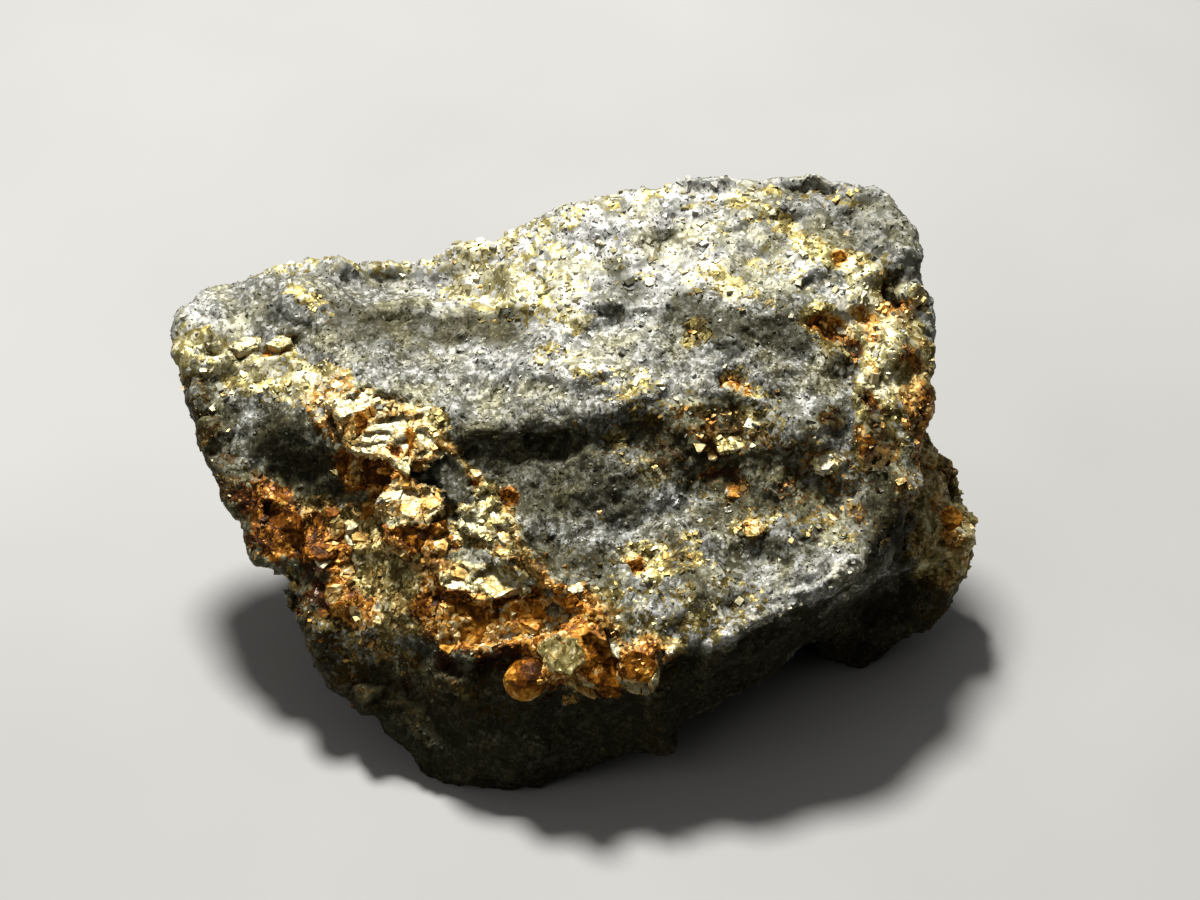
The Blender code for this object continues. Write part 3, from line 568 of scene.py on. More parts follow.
# large crystal faces: corners in pixels, leaning, stuff and tone
crystalFaces = {
    "ledge": [
        ([(333, 403), (340, 398), (352, 398), (363, 388), (373, 387), (373, 400), (366, 410), (350, 414),
          (341, 418), (335, 414)], "up", "cream", 0.9),
        ([(336, 424), (341, 418), (352, 415), (350, 422), (341, 426)], "front", "bronze", 0.75),
        ([(345, 418), (354, 415), (355, 434), (348, 444), (342, 440), (341, 428)], "left", "gold", 0.5),
        ([(354, 415), (361, 410), (368, 420), (366, 431), (356, 434)], "front", "amber", 0.42),
        ([(361, 410), (372, 404), (379, 408), (378, 416), (366, 420)], "front", "gold", 0.5),
        ([(367, 428), (372, 424), (392, 418), (402, 415), (411, 417), (408, 427), (396, 431), (374, 431)],
         "up", "cream", 0.92),
        ([(350, 440), (357, 435), (378, 433), (392, 432), (394, 438), (384, 441), (378, 442)],
         "up", "cream", 0.95),
        ([(349, 444), (356, 442), (380, 441), (396, 443), (386, 447), (372, 453), (364, 453), (356, 449)],
         "up", "cream", 0.95),
        ([(398, 440), (409, 438), (408, 446), (405, 456), (401, 447), (394, 444)], "up", "cream", 0.9),
        ([(404, 430), (412, 428), (415, 434), (412, 452), (406, 459), (402, 452), (408, 444)],
         "front", "amber", 0.6),
        ([(411, 428), (413, 418), (417, 414), (422, 414), (421, 424), (415, 430)], "up", "gold", 0.85),
        ([(386, 447), (400, 447), (402, 453), (398, 459), (390, 453)], "front", "amber", 0.5),
        ([(417, 458), (418, 450), (425, 450), (429, 452), (424, 457)], "up", "silver", 0.95),
        ([(434, 449), (438, 447), (444, 455), (440, 459)], "up", "cream", 0.95),
        ([(411, 462), (422, 458), (427, 463), (421, 471), (412, 470)], "front", "gold", 0.35),
        ([(392, 461), (404, 459), (411, 466), (409, 474), (399, 469)], "up", "cream", 0.8),
        ([(416, 434), (424, 430), (430, 436), (426, 444), (418, 443)], "up", "cream", 0.75),
    ],
    "recess": [
        ([(352, 457), (359, 455), (361, 470), (359, 485), (355, 483), (352, 470)], "left", "gold", 0.5),
        ([(336, 458), (350, 456), (351, 480), (345, 484), (338, 475)], "front", "amber", 0.36),
        ([(362, 462), (380, 459), (393, 470), (390, 486), (365, 485)], "steep", "amber", 0.25),
        ([(329, 470), (341, 468), (342, 473), (338, 476)], "up", "cream", 0.8),
    ],
    "hill": [
        ([(398, 500), (404, 489), (417, 489), (419, 500), (420, 511), (414, 517), (403, 514)],
         "up", "gold", 0.95),
        ([(379, 496), (385, 493), (398, 490), (404, 489), (398, 500), (387, 502)], "up", "cream", 0.85),
        ([(385, 505), (398, 500), (403, 514), (400, 518), (390, 517), (385, 512)], "front", "gold", 0.75),
        ([(420, 490), (432, 487), (441, 492), (441, 504), (430, 510), (422, 506)], "up", "gold", 0.8),
        ([(427, 507), (434, 503), (438, 507), (433, 514), (428, 511)], "up", "silver", 1.0),
        ([(385, 521), (396, 519), (403, 521), (399, 526), (388, 526)], "up", "silver", 0.95),
        ([(385, 530), (402, 526), (420, 536), (426, 546), (418, 552), (400, 541)], "front", "amber", 0.38),
        ([(404, 526), (421, 529), (444, 520), (448, 532), (430, 541), (418, 538)], "front", "bronze", 0.33),
        ([(384, 541), (395, 545), (405, 553), (401, 557), (391, 550)], "up", "gold", 0.75),
        ([(433, 539), (445, 535), (451, 541), (445, 551), (434, 548)], "up", "gold", 0.75),
        ([(361, 503), (373, 501), (375, 512), (364, 518)], "up", "bronze", 0.7),
    ],
    "band": [
        ([(476, 496), (487, 490), (494, 497), (494, 506), (484, 509), (476, 504)], "up", "cream", 0.85),
        ([(469, 471), (473, 466), (479, 468), (481, 475), (474, 479)], "up", "gold", 0.95),
        ([(473, 479), (480, 477), (478, 487), (471, 485)], "front", "amber", 0.6),
        ([(464, 519), (472, 516), (479, 522), (474, 532), (464, 530)], "up", "silver", 0.95),
        ([(489, 511), (497, 506), (503, 512), (498, 523), (491, 520)], "up", "cream", 0.95),
        ([(497, 524), (508, 530), (512, 541), (504, 543), (496, 536)], "up", "gold", 0.88),
        ([(492, 542), (503, 540), (509, 548), (501, 556), (493, 549)], "up", "gold", 0.82),
        ([(449, 530), (463, 532), (465, 538), (454, 541)], "up", "cream", 0.9),
        ([(500, 492), (508, 488), (518, 492), (519, 503), (508, 506), (501, 500)], "front", "amber", 0.38),
    ],
    "orange band": [
        ([(264, 500), (277, 503), (285, 510), (294, 513), (300, 520), (300, 528), (288, 529), (270, 525),
          (262, 515)], "left", "amber", 0.34),
        ([(281, 528), (292, 525), (301, 529), (303, 540), (299, 554), (291, 552), (284, 545)],
         "front", "amber", 0.4),
        ([(310, 511), (317, 511), (324, 520), (325, 530), (318, 528), (312, 519)], "front", "amber", 0.4),
        ([(324, 508), (332, 504), (342, 510), (338, 517), (328, 518)], "up", "bronze", 0.5),
        ([(330, 528), (336, 524), (344, 521), (342, 531), (337, 540), (331, 538)], "left", "gold", 0.65),
        ([(344, 523), (350, 518), (358, 517), (360, 524), (352, 530), (346, 530)], "up", "cream", 0.92),
        ([(350, 531), (360, 528), (371, 533), (366, 541), (353, 541)], "up", "gold", 0.62),
        ([(344, 535), (349, 534), (353, 542), (359, 547), (350, 546)], "up", "silver", 0.9),
        ([(305, 546), (320, 542), (333, 547), (333, 555), (320, 560), (306, 557)], "up", "amber", 0.42),
        ([(314, 560), (320, 556), (330, 552), (331, 560), (325, 568), (318, 565)], "up", "cream", 1.0),
        ([(352, 552), (364, 549), (367, 562), (358, 567), (352, 561)], "left", "silver", 0.5),
        ([(341, 565), (350, 561), (357, 568), (355, 577), (345, 579), (340, 575)], "up", "gold", 0.72),
        ([(326, 582), (334, 575), (341, 580), (340, 586), (330, 587)], "front", "amber", 0.55),
        ([(327, 588), (340, 584), (343, 592), (336, 604), (327, 605), (324, 596)], "front", "gold", 0.72),
        ([(335, 603), (342, 600), (344, 606), (336, 608)], "front", "amber", 0.55),
        ([(295, 608), (302, 610), (302, 616), (296, 615)], "up", "amber", 0.65),
        ([(352, 614), (360, 613), (362, 620), (356, 622)], "up", "cream", 0.9),
        ([(374, 617), (381, 615), (381, 623), (376, 622)], "up", "cream", 0.95),
    ],
    "middle ledge": [
        ([(444, 586), (450, 577), (460, 574), (467, 581), (464, 589), (452, 590)], "up", "cream", 0.98),
        ([(448, 570), (463, 565), (471, 570), (467, 580), (452, 577)], "up", "gold", 0.7),
        ([(482, 569), (492, 566), (500, 574), (510, 580), (519, 579), (520, 588), (505, 593), (495, 598),
          (486, 592)], "up", "cream", 0.88),
        ([(473, 592), (480, 590), (487, 593), (484, 601), (476, 600)], "up", "bronze", 0.9),
        ([(469, 577), (482, 572), (485, 582), (476, 587), (469, 585)], "up", "silver", 0.75),
        ([(497, 598), (505, 593), (520, 590), (520, 597), (506, 603), (497, 619)],
         "far right", "amber", 0.22),
        ([(445, 591), (470, 591), (474, 600), (462, 606), (446, 603)], "steep", "amber", 0.36),
        ([(455, 604), (472, 601), (488, 602), (495, 619), (485, 630), (470, 621), (458, 615)],
         "front", "amber", 0.56),
        ([(459, 625), (480, 622), (489, 635), (478, 646), (461, 643)], "front", "amber", 0.66),
        ([(465, 611), (471, 613), (473, 620), (466, 618)], "up", "amber", 0.9),
        ([(439, 640), (452, 634), (458, 645), (448, 653), (439, 648)], "up", "amber", 0.75),
        ([(505, 606), (520, 600), (541, 600), (545, 615), (530, 623), (509, 621)], "front", "amber", 0.66),
        ([(510, 610), (516, 608), (517, 614), (511, 616)], "up", "cream", 0.95),
        ([(519, 612), (535, 609), (546, 619), (536, 629), (520, 623)], "up", "bronze", 0.72),
        ([(495, 639), (505, 633), (518, 630), (519, 635), (504, 641)], "up", "cream", 1.0),
        ([(540, 626), (556, 617), (562, 622), (553, 631), (542, 632)], "up", "cream", 0.85),
        ([(561, 613), (568, 611), (570, 617), (563, 619)], "up", "silver", 1.0),
        ([(564, 597), (573, 593), (579, 600), (574, 608), (565, 607)], "front", "amber", 0.6),
        ([(545, 603), (555, 603), (562, 612), (556, 618), (548, 616)], "up", "silver", 0.7),
        ([(565, 589), (572, 586), (580, 582), (584, 588), (573, 593)], "up", "cream", 0.9),
    ],
    "wedge": [
        ([(537, 650), (541, 641), (556, 636), (576, 638), (585, 660), (570, 675), (555, 672), (545, 662)],
         "left", "brass", 0.6),
        ([(576, 638), (590, 632), (607, 640), (618, 656), (620, 690), (596, 684), (579, 668), (585, 660)],
         "right", "amber", 0.46),
        ([(563, 638), (566, 625), (585, 617), (600, 621), (607, 640), (590, 632), (576, 638)],
         "up", "bronze", 0.62),
        ([(602, 627), (607, 633), (621, 647), (620, 658), (615, 655), (609, 644)], "up", "silver", 0.85),
        ([(570, 675), (585, 684), (601, 698), (588, 697), (577, 690)], "front", "gold", 0.6),
        ([(600, 685), (618, 680), (620, 698), (604, 697)], "front", "amber", 0.5),
        ([(622, 656), (632, 650), (648, 655), (657, 665), (652, 676), (640, 681), (628, 677)],
         "front", "amber", 0.58),
        ([(626, 686), (633, 682), (640, 684), (640, 694), (630, 692)], "up", "cream", 1.0),
        ([(640, 684), (650, 682), (653, 690), (644, 695)], "up", "silver", 0.95),
        ([(655, 652), (665, 650), (661, 670), (655, 691), (652, 680), (656, 667)], "right", "silver", 0.55),
        ([(562, 695), (577, 693), (579, 702), (565, 704)], "front", "gold", 0.55),
    ],
    "slope": [
        ([(627, 560), (640, 558), (645, 568), (636, 575), (630, 569)], "front", "amber", 0.45),
        ([(725, 487), (733, 483), (741, 487), (739, 496), (728, 496)], "up", "bronze", 0.75),
        ([(833, 253), (842, 250), (848, 257), (842, 264), (834, 262)], "front", "amber", 0.6),
        ([(922, 452), (932, 448), (939, 457), (933, 466), (923, 463)], "up", "gold", 0.85),
        ([(941, 512), (953, 506), (962, 516), (957, 532), (943, 528)], "front", "amber", 0.6),
        ([(228, 344), (246, 337), (262, 337), (258, 348), (240, 352)], "up", "ivory", 0.85),
        ([(266, 343), (276, 336), (291, 335), (292, 344), (278, 350)], "up", "ivory", 0.8),
    ],
}

# single bright flakes: middle and width in pixels; some of them are painted highlights
flakes = {
    "silver": [
        (600, 242, 18), (631, 214, 16), (665, 205, 12), (652, 254, 19), (650, 282, 15), (718, 262, 12),
        (750, 203, 12), (773, 212, 15), (802, 254, 14), (799, 282, 15), (790, 315, 9), (844, 329, 19),
        (846, 233, 12), (480, 352, 8), (510, 365, 7), (468, 386, 7), (495, 436, 7), (585, 350, 8),
        (622, 374, 9), (676, 398, 8), (640, 360, 6), (560, 398, 7), (520, 395, 6), (724, 366, 8),
        (612, 425, 6), (665, 618, 8), (645, 605, 6), (618, 618, 8), (640, 632, 7), (690, 600, 7),
        # the row of small flakes from (748, 629) to (858, 566) follows the sharp lower edge: a painted
        # highlight
        (735, 580, 6), (780, 560, 6), (820, 545, 7), (748, 629, 7), (759, 625, 7), (770, 620, 7),
        (780, 614, 7), (790, 608, 7), (800, 603, 7), (810, 598, 7), (820, 592, 7), (830, 586, 7),
        (840, 579, 7), (850, 572, 7), (858, 566, 7), (213, 408, 11), (825, 464, 22), (752, 424, 18),
        (729, 490, 13), (655, 548, 11), (818, 526, 10), (700, 520, 7), (565, 614, 7), (437, 642, 5),
        (483, 645, 7), (473, 653, 7), (205, 300, 8), (190, 318, 7), (232, 392, 9), (213, 380, 6),
        (266, 497, 3), (304, 529, 4), (720, 320, 6), (755, 340, 6), (610, 300, 6), (572, 260, 7),
        (700, 225, 6),
    ],
    "gold": [
        (455, 262, 8), (490, 250, 7), (530, 235, 8), (580, 215, 8), (610, 205, 7), (690, 195, 7),
        (790, 198, 8), (835, 200, 8), (705, 280, 10), (722, 288, 9), (693, 332, 11), (570, 310, 9),
        (480, 285, 10), (500, 300, 9), (540, 292, 9), (440, 285, 7), (300, 290, 10), (318, 305, 8),
        (790, 226, 10), (803, 237, 9), (816, 247, 9), (860, 264, 10), (880, 272, 9), (872, 345, 10),
        (855, 360, 9), (890, 400, 11), (882, 425, 9), (862, 395, 8), (870, 445, 9), (905, 420, 8),
        (700, 436, 9), (753, 445, 9), (660, 416, 9), (620, 434, 8), (556, 352, 8), (600, 372, 7),
        (645, 392, 8), (690, 556, 9), (665, 548, 8), (735, 532, 8), (600, 512, 8), (850, 500, 8),
        (835, 470, 8), (777, 390, 8), (748, 384, 9), (650, 640, 7), (618, 628, 8), (585, 600, 6),
        (200, 358, 11), (213, 374, 11), (244, 374, 14), (260, 388, 16), (287, 382, 11), (318, 394, 10),
        (338, 379, 12), (184, 388, 9), (226, 386, 10), (228, 430, 6), (212, 460, 5), (240, 500, 6),
        (700, 446, 16), (712, 456, 14), (735, 528, 14), (668, 556, 14), (792, 541, 10), (806, 533, 12),
        (832, 518, 12), (843, 508, 10), (948, 480, 8), (936, 500, 7), (950, 560, 7), (545, 660, 6),
    ],
    "amber": [
        # the first two amber flakes sit on the round crystal's bright spots: painted highlights
        (512, 672, 11), (531, 691, 8), (826, 322, 10), (870, 318, 8), (905, 305, 7), (730, 376, 9),
        (745, 388, 8), (405, 575, 8), (425, 590, 8), (440, 618, 8), (590, 635, 8), (634, 660, 7),
        (640, 672, 7), (309, 410, 10), (320, 640, 8), (345, 660, 9), (310, 620, 7), (370, 640, 8),
        (275, 553, 6), (293, 549, 6), (912, 430, 7), (916, 455, 7), (948, 540, 9), (300, 600, 6),
        (375, 600, 8),
    ],
}


# the body of the ore, a finer skin over the solid

body = {
    "voxel": 0.26,
    "smoothing": 3,
    "sunk": 0.22,
    "wander": ((0.7, 1.6), (0.35, 0.7)),  # how far painted edges stray, in cells of this size
    "facets": ((3.0, 0.26), (1.5, 0.28), (0.8, 0.18)),
    "goldFacets": 1.1,
    "paleFacets": -0.35,
    "grit": ((0.9, 0.10), (0.42, 0.09)),
    "goldBumps": (0.55, 0.12),
    "facetLift": 0.5,
    "facetSeeds": (7.7, 5.1),
    "hollowPasses": 8,
    "hollowDepth": 0.15,
}

# how the strokes fade, where veins lie, and how far up the foot of the ore is painted darker, a painted
# shade
painting = {
    "spread": 1.5,
    "edge": 1.6,
    "vein": 1.3,
    "veinShift": 9,
    "veinContrast": 0.6,
    "strays": (0.10, 2, 0.2),  # gold outside the strokes: strength, then what makes its spots sparse
    "shadedFoot": (1.4, 5.5),
    "darkOverPale": 0.6,
    "darkOverGold": 0.5,
}


def newObject(name, mesh):
    obj = bpy.data.objects.new(name, mesh)
    bpy.context.scene.collection.objects.link(obj)
    return obj


def evaluatedMesh(obj, name):
    graph = bpy.context.evaluated_depsgraph_get()
    mesh = bpy.data.meshes.new_from_object(obj.evaluated_get(graph))
    mesh.name = name
    bpy.data.objects.remove(obj)
    return mesh


def smooth(work, passes):
    for _ in range(passes):
        bmesh.ops.smooth_vert(work, verts=work.verts, factor=0.5,
                              use_axis_x=True, use_axis_y=True, use_axis_z=True)


def fineBody():
    source = bpy.data.meshes.new("fine")
    cadMesh.to_mesh(source)
    obj = newObject("fine", source)
    remesh = obj.modifiers.new("fine", "REMESH")
    remesh.mode = "VOXEL"
    remesh.voxel_size = body["voxel"] * mm
    mesh = evaluatedMesh(obj, "ore_body")
    work = bmesh.new()
    work.from_mesh(mesh)
    smooth(work, body["smoothing"])
    work.to_mesh(mesh)
    work.free()
    return mesh


def readPlaces(mesh):
    places, normals = np.empty((2, len(mesh.vertices) * 3), np.float32)
    mesh.vertices.foreach_get("co", places)
    mesh.vertices.foreach_get("normal", normals)
    return places.reshape(-1, 3).astype(float) / mm, normals.reshape(-1, 3).astype(float)


def writePlaces(mesh, places):
    low, high = np.array(cadBox[0]) / mm, np.array(cadBox[1]) / mm
    places = np.clip(places, low, high)
    mesh.vertices.foreach_set("co", (places * mm).astype(np.float32).ravel())
    mesh.update()


# each cell of the skin is a plane with its own tilt and height
def facetHeight(point, cell):
    heart = noise.voronoi(point / cell)[1][0]
    forTilt, forHeight = body["facetSeeds"]
    tilt = noise.noise_vector(heart * forTilt)
    return (point / cell - heart).dot(tilt) + body["facetLift"] * noise.noise(heart * forHeight)


def paintMasks(places, wander):
    masks = {}
    for name, strokes in paint.items():
        shown = [(seats(path), reach * pixelMm(), strength) for path, reach, strength in strokes]
        hidden = [([Vector(place) * mm for place in path], reach, strength)
                  for path, reach, strength in hiddenPaint.get(name, [])]
        masks[name] = np.zeros(len(places))
        for points, reach, strength in shown + hidden:
            near = closeness(distanceTo(wander, points), reach * painting["spread"])
            masks[name] = np.maximum(masks[name], strength * np.clip(near * painting["edge"], 0, 1))
    veins = noiseAt(places, painting["vein"], painting["veinShift"])
    strength, contrast, cut = painting["strays"]
    strays = strength * np.clip(veins * contrast - cut, 0, 1)
    masks["gold"] = np.clip(masks["gold"] * (1 + painting["veinContrast"] * veins) + strays, 0, 1)
    # painted shade: the skin is darker the nearer it lies to the floor
    deepest, rise = painting["shadedFoot"]
    masks["dark"] = np.maximum(masks["dark"], np.clip(deepest - places[:, 2] / rise, 0, 1))
    masks["gold"] *= 1 - masks["bare"]
    masks["rust"] *= 1 - masks["bare"]
    masks["pale"] *= 1 - painting["darkOverPale"] * masks["dark"]
    masks["gold"] *= 1 - painting["darkOverGold"] * masks["dark"]
    return masks


def facePlane(corners, leaning, lift=crystals["raised"]):
    middle = middleOf(corners)
    place, surface = seat(*middle)
    for outline, lean, _, _, rise in broadPlanes:
        if outline is not corners and within(*np.array(middle).reshape(2, 1), outline)[0]:
            broad, across, _ = facePlane(outline, lean, rise)
            place = onPlane(middle, broad, across)
    normal = Vector(leanings[leaning]).normalized()
    return place + normal * lift * mm, normal, surface


def pullToFaces(places, normals, masks):
    masks["faced"] = np.zeros(len(places))
    us, vs = pixelsOf(places)
    eye = np.array(camera["aim"] - lineOfSight() * camera["distance"]) / mm
    seen = normals @ np.array(lineOfSight()) < pull["facing"]
    faces = broadPlanes + [(*face, None) for faces in crystalFaces.values() for face in faces]
    for corners, leaning, stuff, tone, lift in faces:
        isBroad = lift is not None
        place, normal, _ = facePlane(corners, leaning, lift if isBroad else crystals["raised"])
        middle, normal = np.array(place) / mm, np.array(normal)
        near = np.linalg.norm(places - middle, axis=1) < pull["within"]
        chosen = seen & within(us, vs, corners) & near
        rays = places[chosen] - eye
        bed = 0 if isBroad else pull["bed"]
        share = (middle - normal * bed - eye) @ normal / (rays @ normal)
        move = rays * (share - 1)[:, None]
        far = np.linalg.norm(move, axis=1)
        furthest = pull["furthest"] * (pull["broadFurther"] if isBroad else 1)
        places[chosen] += move * np.minimum(1, furthest / np.maximum(far, tiny))[:, None]
        masks["gold"][chosen], masks["rust"][chosen] = np.clip(stuffs[stuff], 0, 1)
        masks["pale"][chosen] = max(0, tone * 2 - 1)
        masks["dark"][chosen] = max(0, 1 - tone * 2)
        if not isBroad:
            masks["faced"][chosen] = 1
    cell, rise = body["goldBumps"]
    return places + driftAt(places, cell) * rise * (masks["gold"] * (1 - masks["faced"]))[:, None]


# 1 where the skin lies in a hollow, 0 where it stands out
def hollows(mesh):
    work = bmesh.new()
    work.from_mesh(mesh)
    before = [vert.co.copy() for vert in work.verts]
    normals = [vert.normal.copy() for vert in work.verts]
    smooth(work, body["hollowPasses"])
    sunk = [(vert.co - was).dot(normal) for vert, was, normal in zip(work.verts, before, normals)]
    work.free()
    return np.clip(np.array(sunk) / (body["hollowDepth"] * mm), -1, 1) * 0.5 + 0.5


def storeMasks(mesh, masks):
    for name, mask in masks.items():
        attribute = mesh.attributes.new(name, "FLOAT", "POINT")
        attribute.data.foreach_set("value", mask.astype(np.float32))


def makeBody():
    mesh = fineBody()
    places, normals = readPlaces(mesh)
    wander = places.copy()
    for far, cell in body["wander"]:
        wander += far * driftAt(places, cell)
    masks = paintMasks(places, wander)
    height = np.full(len(places), -body["sunk"])
    for path, reach, rise in relief.values():
        height += rise * closeness(distanceTo(wander, seats(path)), reach)
    share = 1 + (body["goldFacets"] - 1) * masks["gold"] + body["paleFacets"] * masks["pale"]
    for cell, rise in body["facets"]:
        height += rise * share * np.array([facetHeight(Vector(p), cell) for p in places])
    for cell, rise in body["grit"]:
        height += rise * noiseAt(places, cell)
    places += height[:, None] * normals
    for middle, reach, move in spikes:
        near = closeness(np.linalg.norm(places - np.array(middle), axis=1), reach)
        places += near[:, None] * np.array(move)
    writePlaces(mesh, pullToFaces(places, normals, masks))
    masks["hollow"] = hollows(mesh)
    storeMasks(mesh, masks)
    for polygon in mesh.polygons:
        polygon.use_smooth = True
    mesh.materials.clear()
    mesh.materials.append(bodyFinish())
    print("body made", len(mesh.polygons) * 2, "triangles")
    return mesh


# small grains, spread by geometry nodes and made real

class Growth:
    def __init__(self, name):
        self.tree = bpy.data.node_groups.new(name, "GeometryNodeTree")
        self.tree.interface.new_socket("Geometry", in_out="OUTPUT", socket_type="NodeSocketGeometry")

    def node(self, kind, settings=None, inputs=None, out=0):
        return makeNode(self.tree, kind, settings, inputs, out)

    def attribute(self, name):
        return self.node("GeometryNodeInputNamedAttribute", {"data_type": "FLOAT"}, {"Name": name})

    def stored(self, geometry, name, value):
        return self.node("GeometryNodeStoreNamedAttribute", {"data_type": "FLOAT", "domain": "POINT"},
                         {"Geometry": geometry, "Name": name, "Value": value})

    def roll(self, seed):
        return self.node("FunctionNodeRandomValue", {"data_type": "FLOAT"},
                         {"Min_001": 0.0, "Max_001": 1.0, "Seed": seed}, "Value_001")

    def turn(self, low, high, seed):
        return self.node("FunctionNodeRandomValue", {"data_type": "FLOAT_VECTOR"},
                         {"Min": (low, low, low), "Max": (high, high, high), "Seed": seed}, "Value")


# all grains start about 1 across and are scaled to their size
pebbleRadius = (0.42, 0.58)
blockSide = 0.8
blockUneven = (0.9, 1.1)


def pebble(corners, seed):
    rolls = random.Random(seed)
    mesh = bmesh.new()
    for _ in range(corners):
        arrow = Vector([rolls.gauss(0, 1) for _ in range(3)]).normalized()
        mesh.verts.new(arrow * rolls.uniform(*pebbleRadius))
    bmesh.ops.convex_hull(mesh, input=mesh.verts)
    dropLoose(mesh)
    return mesh


def dropLoose(mesh):
    bmesh.ops.delete(mesh, geom=[vert for vert in mesh.verts if not vert.link_faces], context="VERTS")


def block(stretch, seed):
    rolls = random.Random(seed)
    mesh = bmesh.new()
    bmesh.ops.create_cube(mesh, size=blockSide)
    for vert in mesh.verts:
        vert.co = Vector([c * s * rolls.uniform(*blockUneven) for c, s in zip(vert.co, stretch)])
    return mesh


def shapeSet(name, shapes):
    collection = bpy.data.collections.new(name)
    for number, shape in enumerate(shapes):
        mesh = bpy.data.meshes.new(f"{name}_{number:02d}")
        bmesh.ops.recalc_face_normals(shape, faces=shape.faces)
        shape.to_mesh(mesh)
        shape.free()
        collection.objects.link(bpy.data.objects.new(f"{name}_{number:02d}", mesh))
    return collection


# lengths in mm; the more uneven, the more of them are small
# share is where they grow, lift how light they are, goldShare how many turn gold where the ore is gold
grains = {
    "magnetite_grains": {
        "shapes": [pebble(5, seed) for seed in (1, 2, 3)] + [pebble(6, seed) for seed in (4, 5, 6)],
        "apart": 0.15, "perMm2": 8.0, "sizes": (0.2, 0.5), "uneven": 2.2, "sink": 0.26, "seed": 3,
        "share": lambda g: 1 - g.attribute("gold") * 0.9,
        "finish": "magnetite", "tilt": 0.3, "metal": 0.25, "lift": 0.06, "goldShare": 0.9,
    },
    "pale_grains": {
        "shapes": [pebble(7, seed) for seed in (11, 12, 13)] + [block((1.1, 0.8, 0.6), 14)],
        "apart": 0.25, "perMm2": 4.0, "sizes": (0.25, 0.8), "uneven": 2.2, "sink": 0.22, "seed": 5,
        "share": lambda g: (g.attribute("pale") * 0.9 + 0.06) * (1 - g.attribute("faced") * 0.9),
        "finish": "pale_ore", "tilt": 0.25, "metal": 0.15, "lift": 0.12, "goldShare": 0.7,
    },
    "pyrite_grains": {
        "shapes": [pebble(8, 21), pebble(9, 22), pebble(8, 23), block((1.2, 0.9, 0.8), 24),
                   block((1, 0.7, 1.1), 25)],
        "apart": 0.14, "perMm2": 15.0, "sizes": (0.18, 0.7), "uneven": 2.2, "sink": 0.34, "seed": 9,
        "share": lambda g: g.attribute("gold") * 0.75 * (1 - g.attribute("faced") * 0.75) + 0.004,
        "finish": "pyrite", "tilt": 0.25, "metal": 0.3, "lift": 0.1, "goldShare": 9.0,
        "aligned": {"cell": 3.2, "turn": 6.28, "loose": 0.35},
    },
}


# grains turn freely, or lie nearly alike within each cell where they are aligned
def grainTurn(growth, recipe):
    seed = recipe["seed"] + 3
    if "aligned" not in recipe:
        return growth.turn(0, fullTurn, seed)
    aligned = recipe["aligned"]
    loose = growth.turn(-aligned["loose"], aligned["loose"], seed)
    cell = growth.node("ShaderNodeTexVoronoi", {}, {"Scale": 1 / (aligned["cell"] * mm)}, "Color")
    return growth.node("ShaderNodeVectorMath", {"operation": "MULTIPLY_ADD"},
                       {0: cell, 1: [aligned["turn"]] * 3, 2: loose})


def spreadGrains(name, host):
    recipe = grains[name]
    growth = Growth(name)
    skin = growth.node("GeometryNodeObjectInfo", {"transform_space": "RELATIVE"}, {"Object": host},
                       "Geometry")
    points = growth.node("GeometryNodeDistributePointsOnFaces", {"distribute_method": "POISSON"},
                         {"Mesh": skin, "Distance Min": recipe["apart"] * mm,
                          "Density Max": recipe["perMm2"] / mm ** 2,
                          "Density Factor": recipe["share"](growth), "Seed": recipe["seed"]})
    normal = points.other("Normal")
    low, high = recipe["sizes"]
    size = growth.roll(recipe["seed"] + 1) ** recipe["uneven"] * ((high - low) * mm) + low * mm
    points = growth.stored(points, "size", size)
    size = growth.attribute("size")
    sunk = growth.node("ShaderNodeVectorMath", {"operation": "SCALE"},
                       {0: normal, "Scale": size * -recipe["sink"]})
    points = growth.node("GeometryNodeSetPosition", {}, {"Geometry": points, "Offset": sunk})
    points = growth.stored(points, "tone", growth.roll(recipe["seed"] + 2))
    points = growth.stored(points, "pick", growth.roll(recipe["seed"] + 7))
    shapes = growth.node("GeometryNodeCollectionInfo", {},
                         {"Collection": shapeSet(name + "_shape", recipe["shapes"]),
                          "Separate Children": True, "Reset Children": True})
    placed = growth.node("GeometryNodeInstanceOnPoints", {},
                         {"Points": points, "Instance": shapes, "Pick Instance": True,
                          "Rotation": grainTurn(growth, recipe), "Scale": size})
    grown = growth.node("GeometryNodeRealizeInstances", {}, {"Geometry": placed})
    last = growth.tree.nodes.new("NodeGroupOutput")
    growth.tree.links.new(grown.socket, last.inputs[0])
    grower = newObject(name + "_grower", bpy.data.meshes.new("empty"))
    grower.modifiers.new("grow", "NODES").node_group = growth.tree
    mesh = evaluatedMesh(grower, name)
    writePlaces(mesh, readPlaces(mesh)[0])
    mesh.materials.clear()
    mesh.materials.append(grainFinish(recipe))
    print(name, len(mesh.vertices), "corners", sum(len(p.vertices) - 2 for p in mesh.polygons), "triangles")
    return newObject(name, mesh)


# crystals and flakes

flakeForm = {
    "seed": 21,
    "corners": 11,
    "toward": (-0.04, -0.18, 0.98),
    "lean": 0.2,
    "follow": 0.5,  # how much a flake follows the skin under it
    "width": (0.5, 1.0),
    "rises": (0.14, 0.10, -0.1, -0.6),
    "tones": {"silver": 0.95, "gold": 0.85, "amber": 0.7},
    "toneChange": (-0.12, 0.08),
}

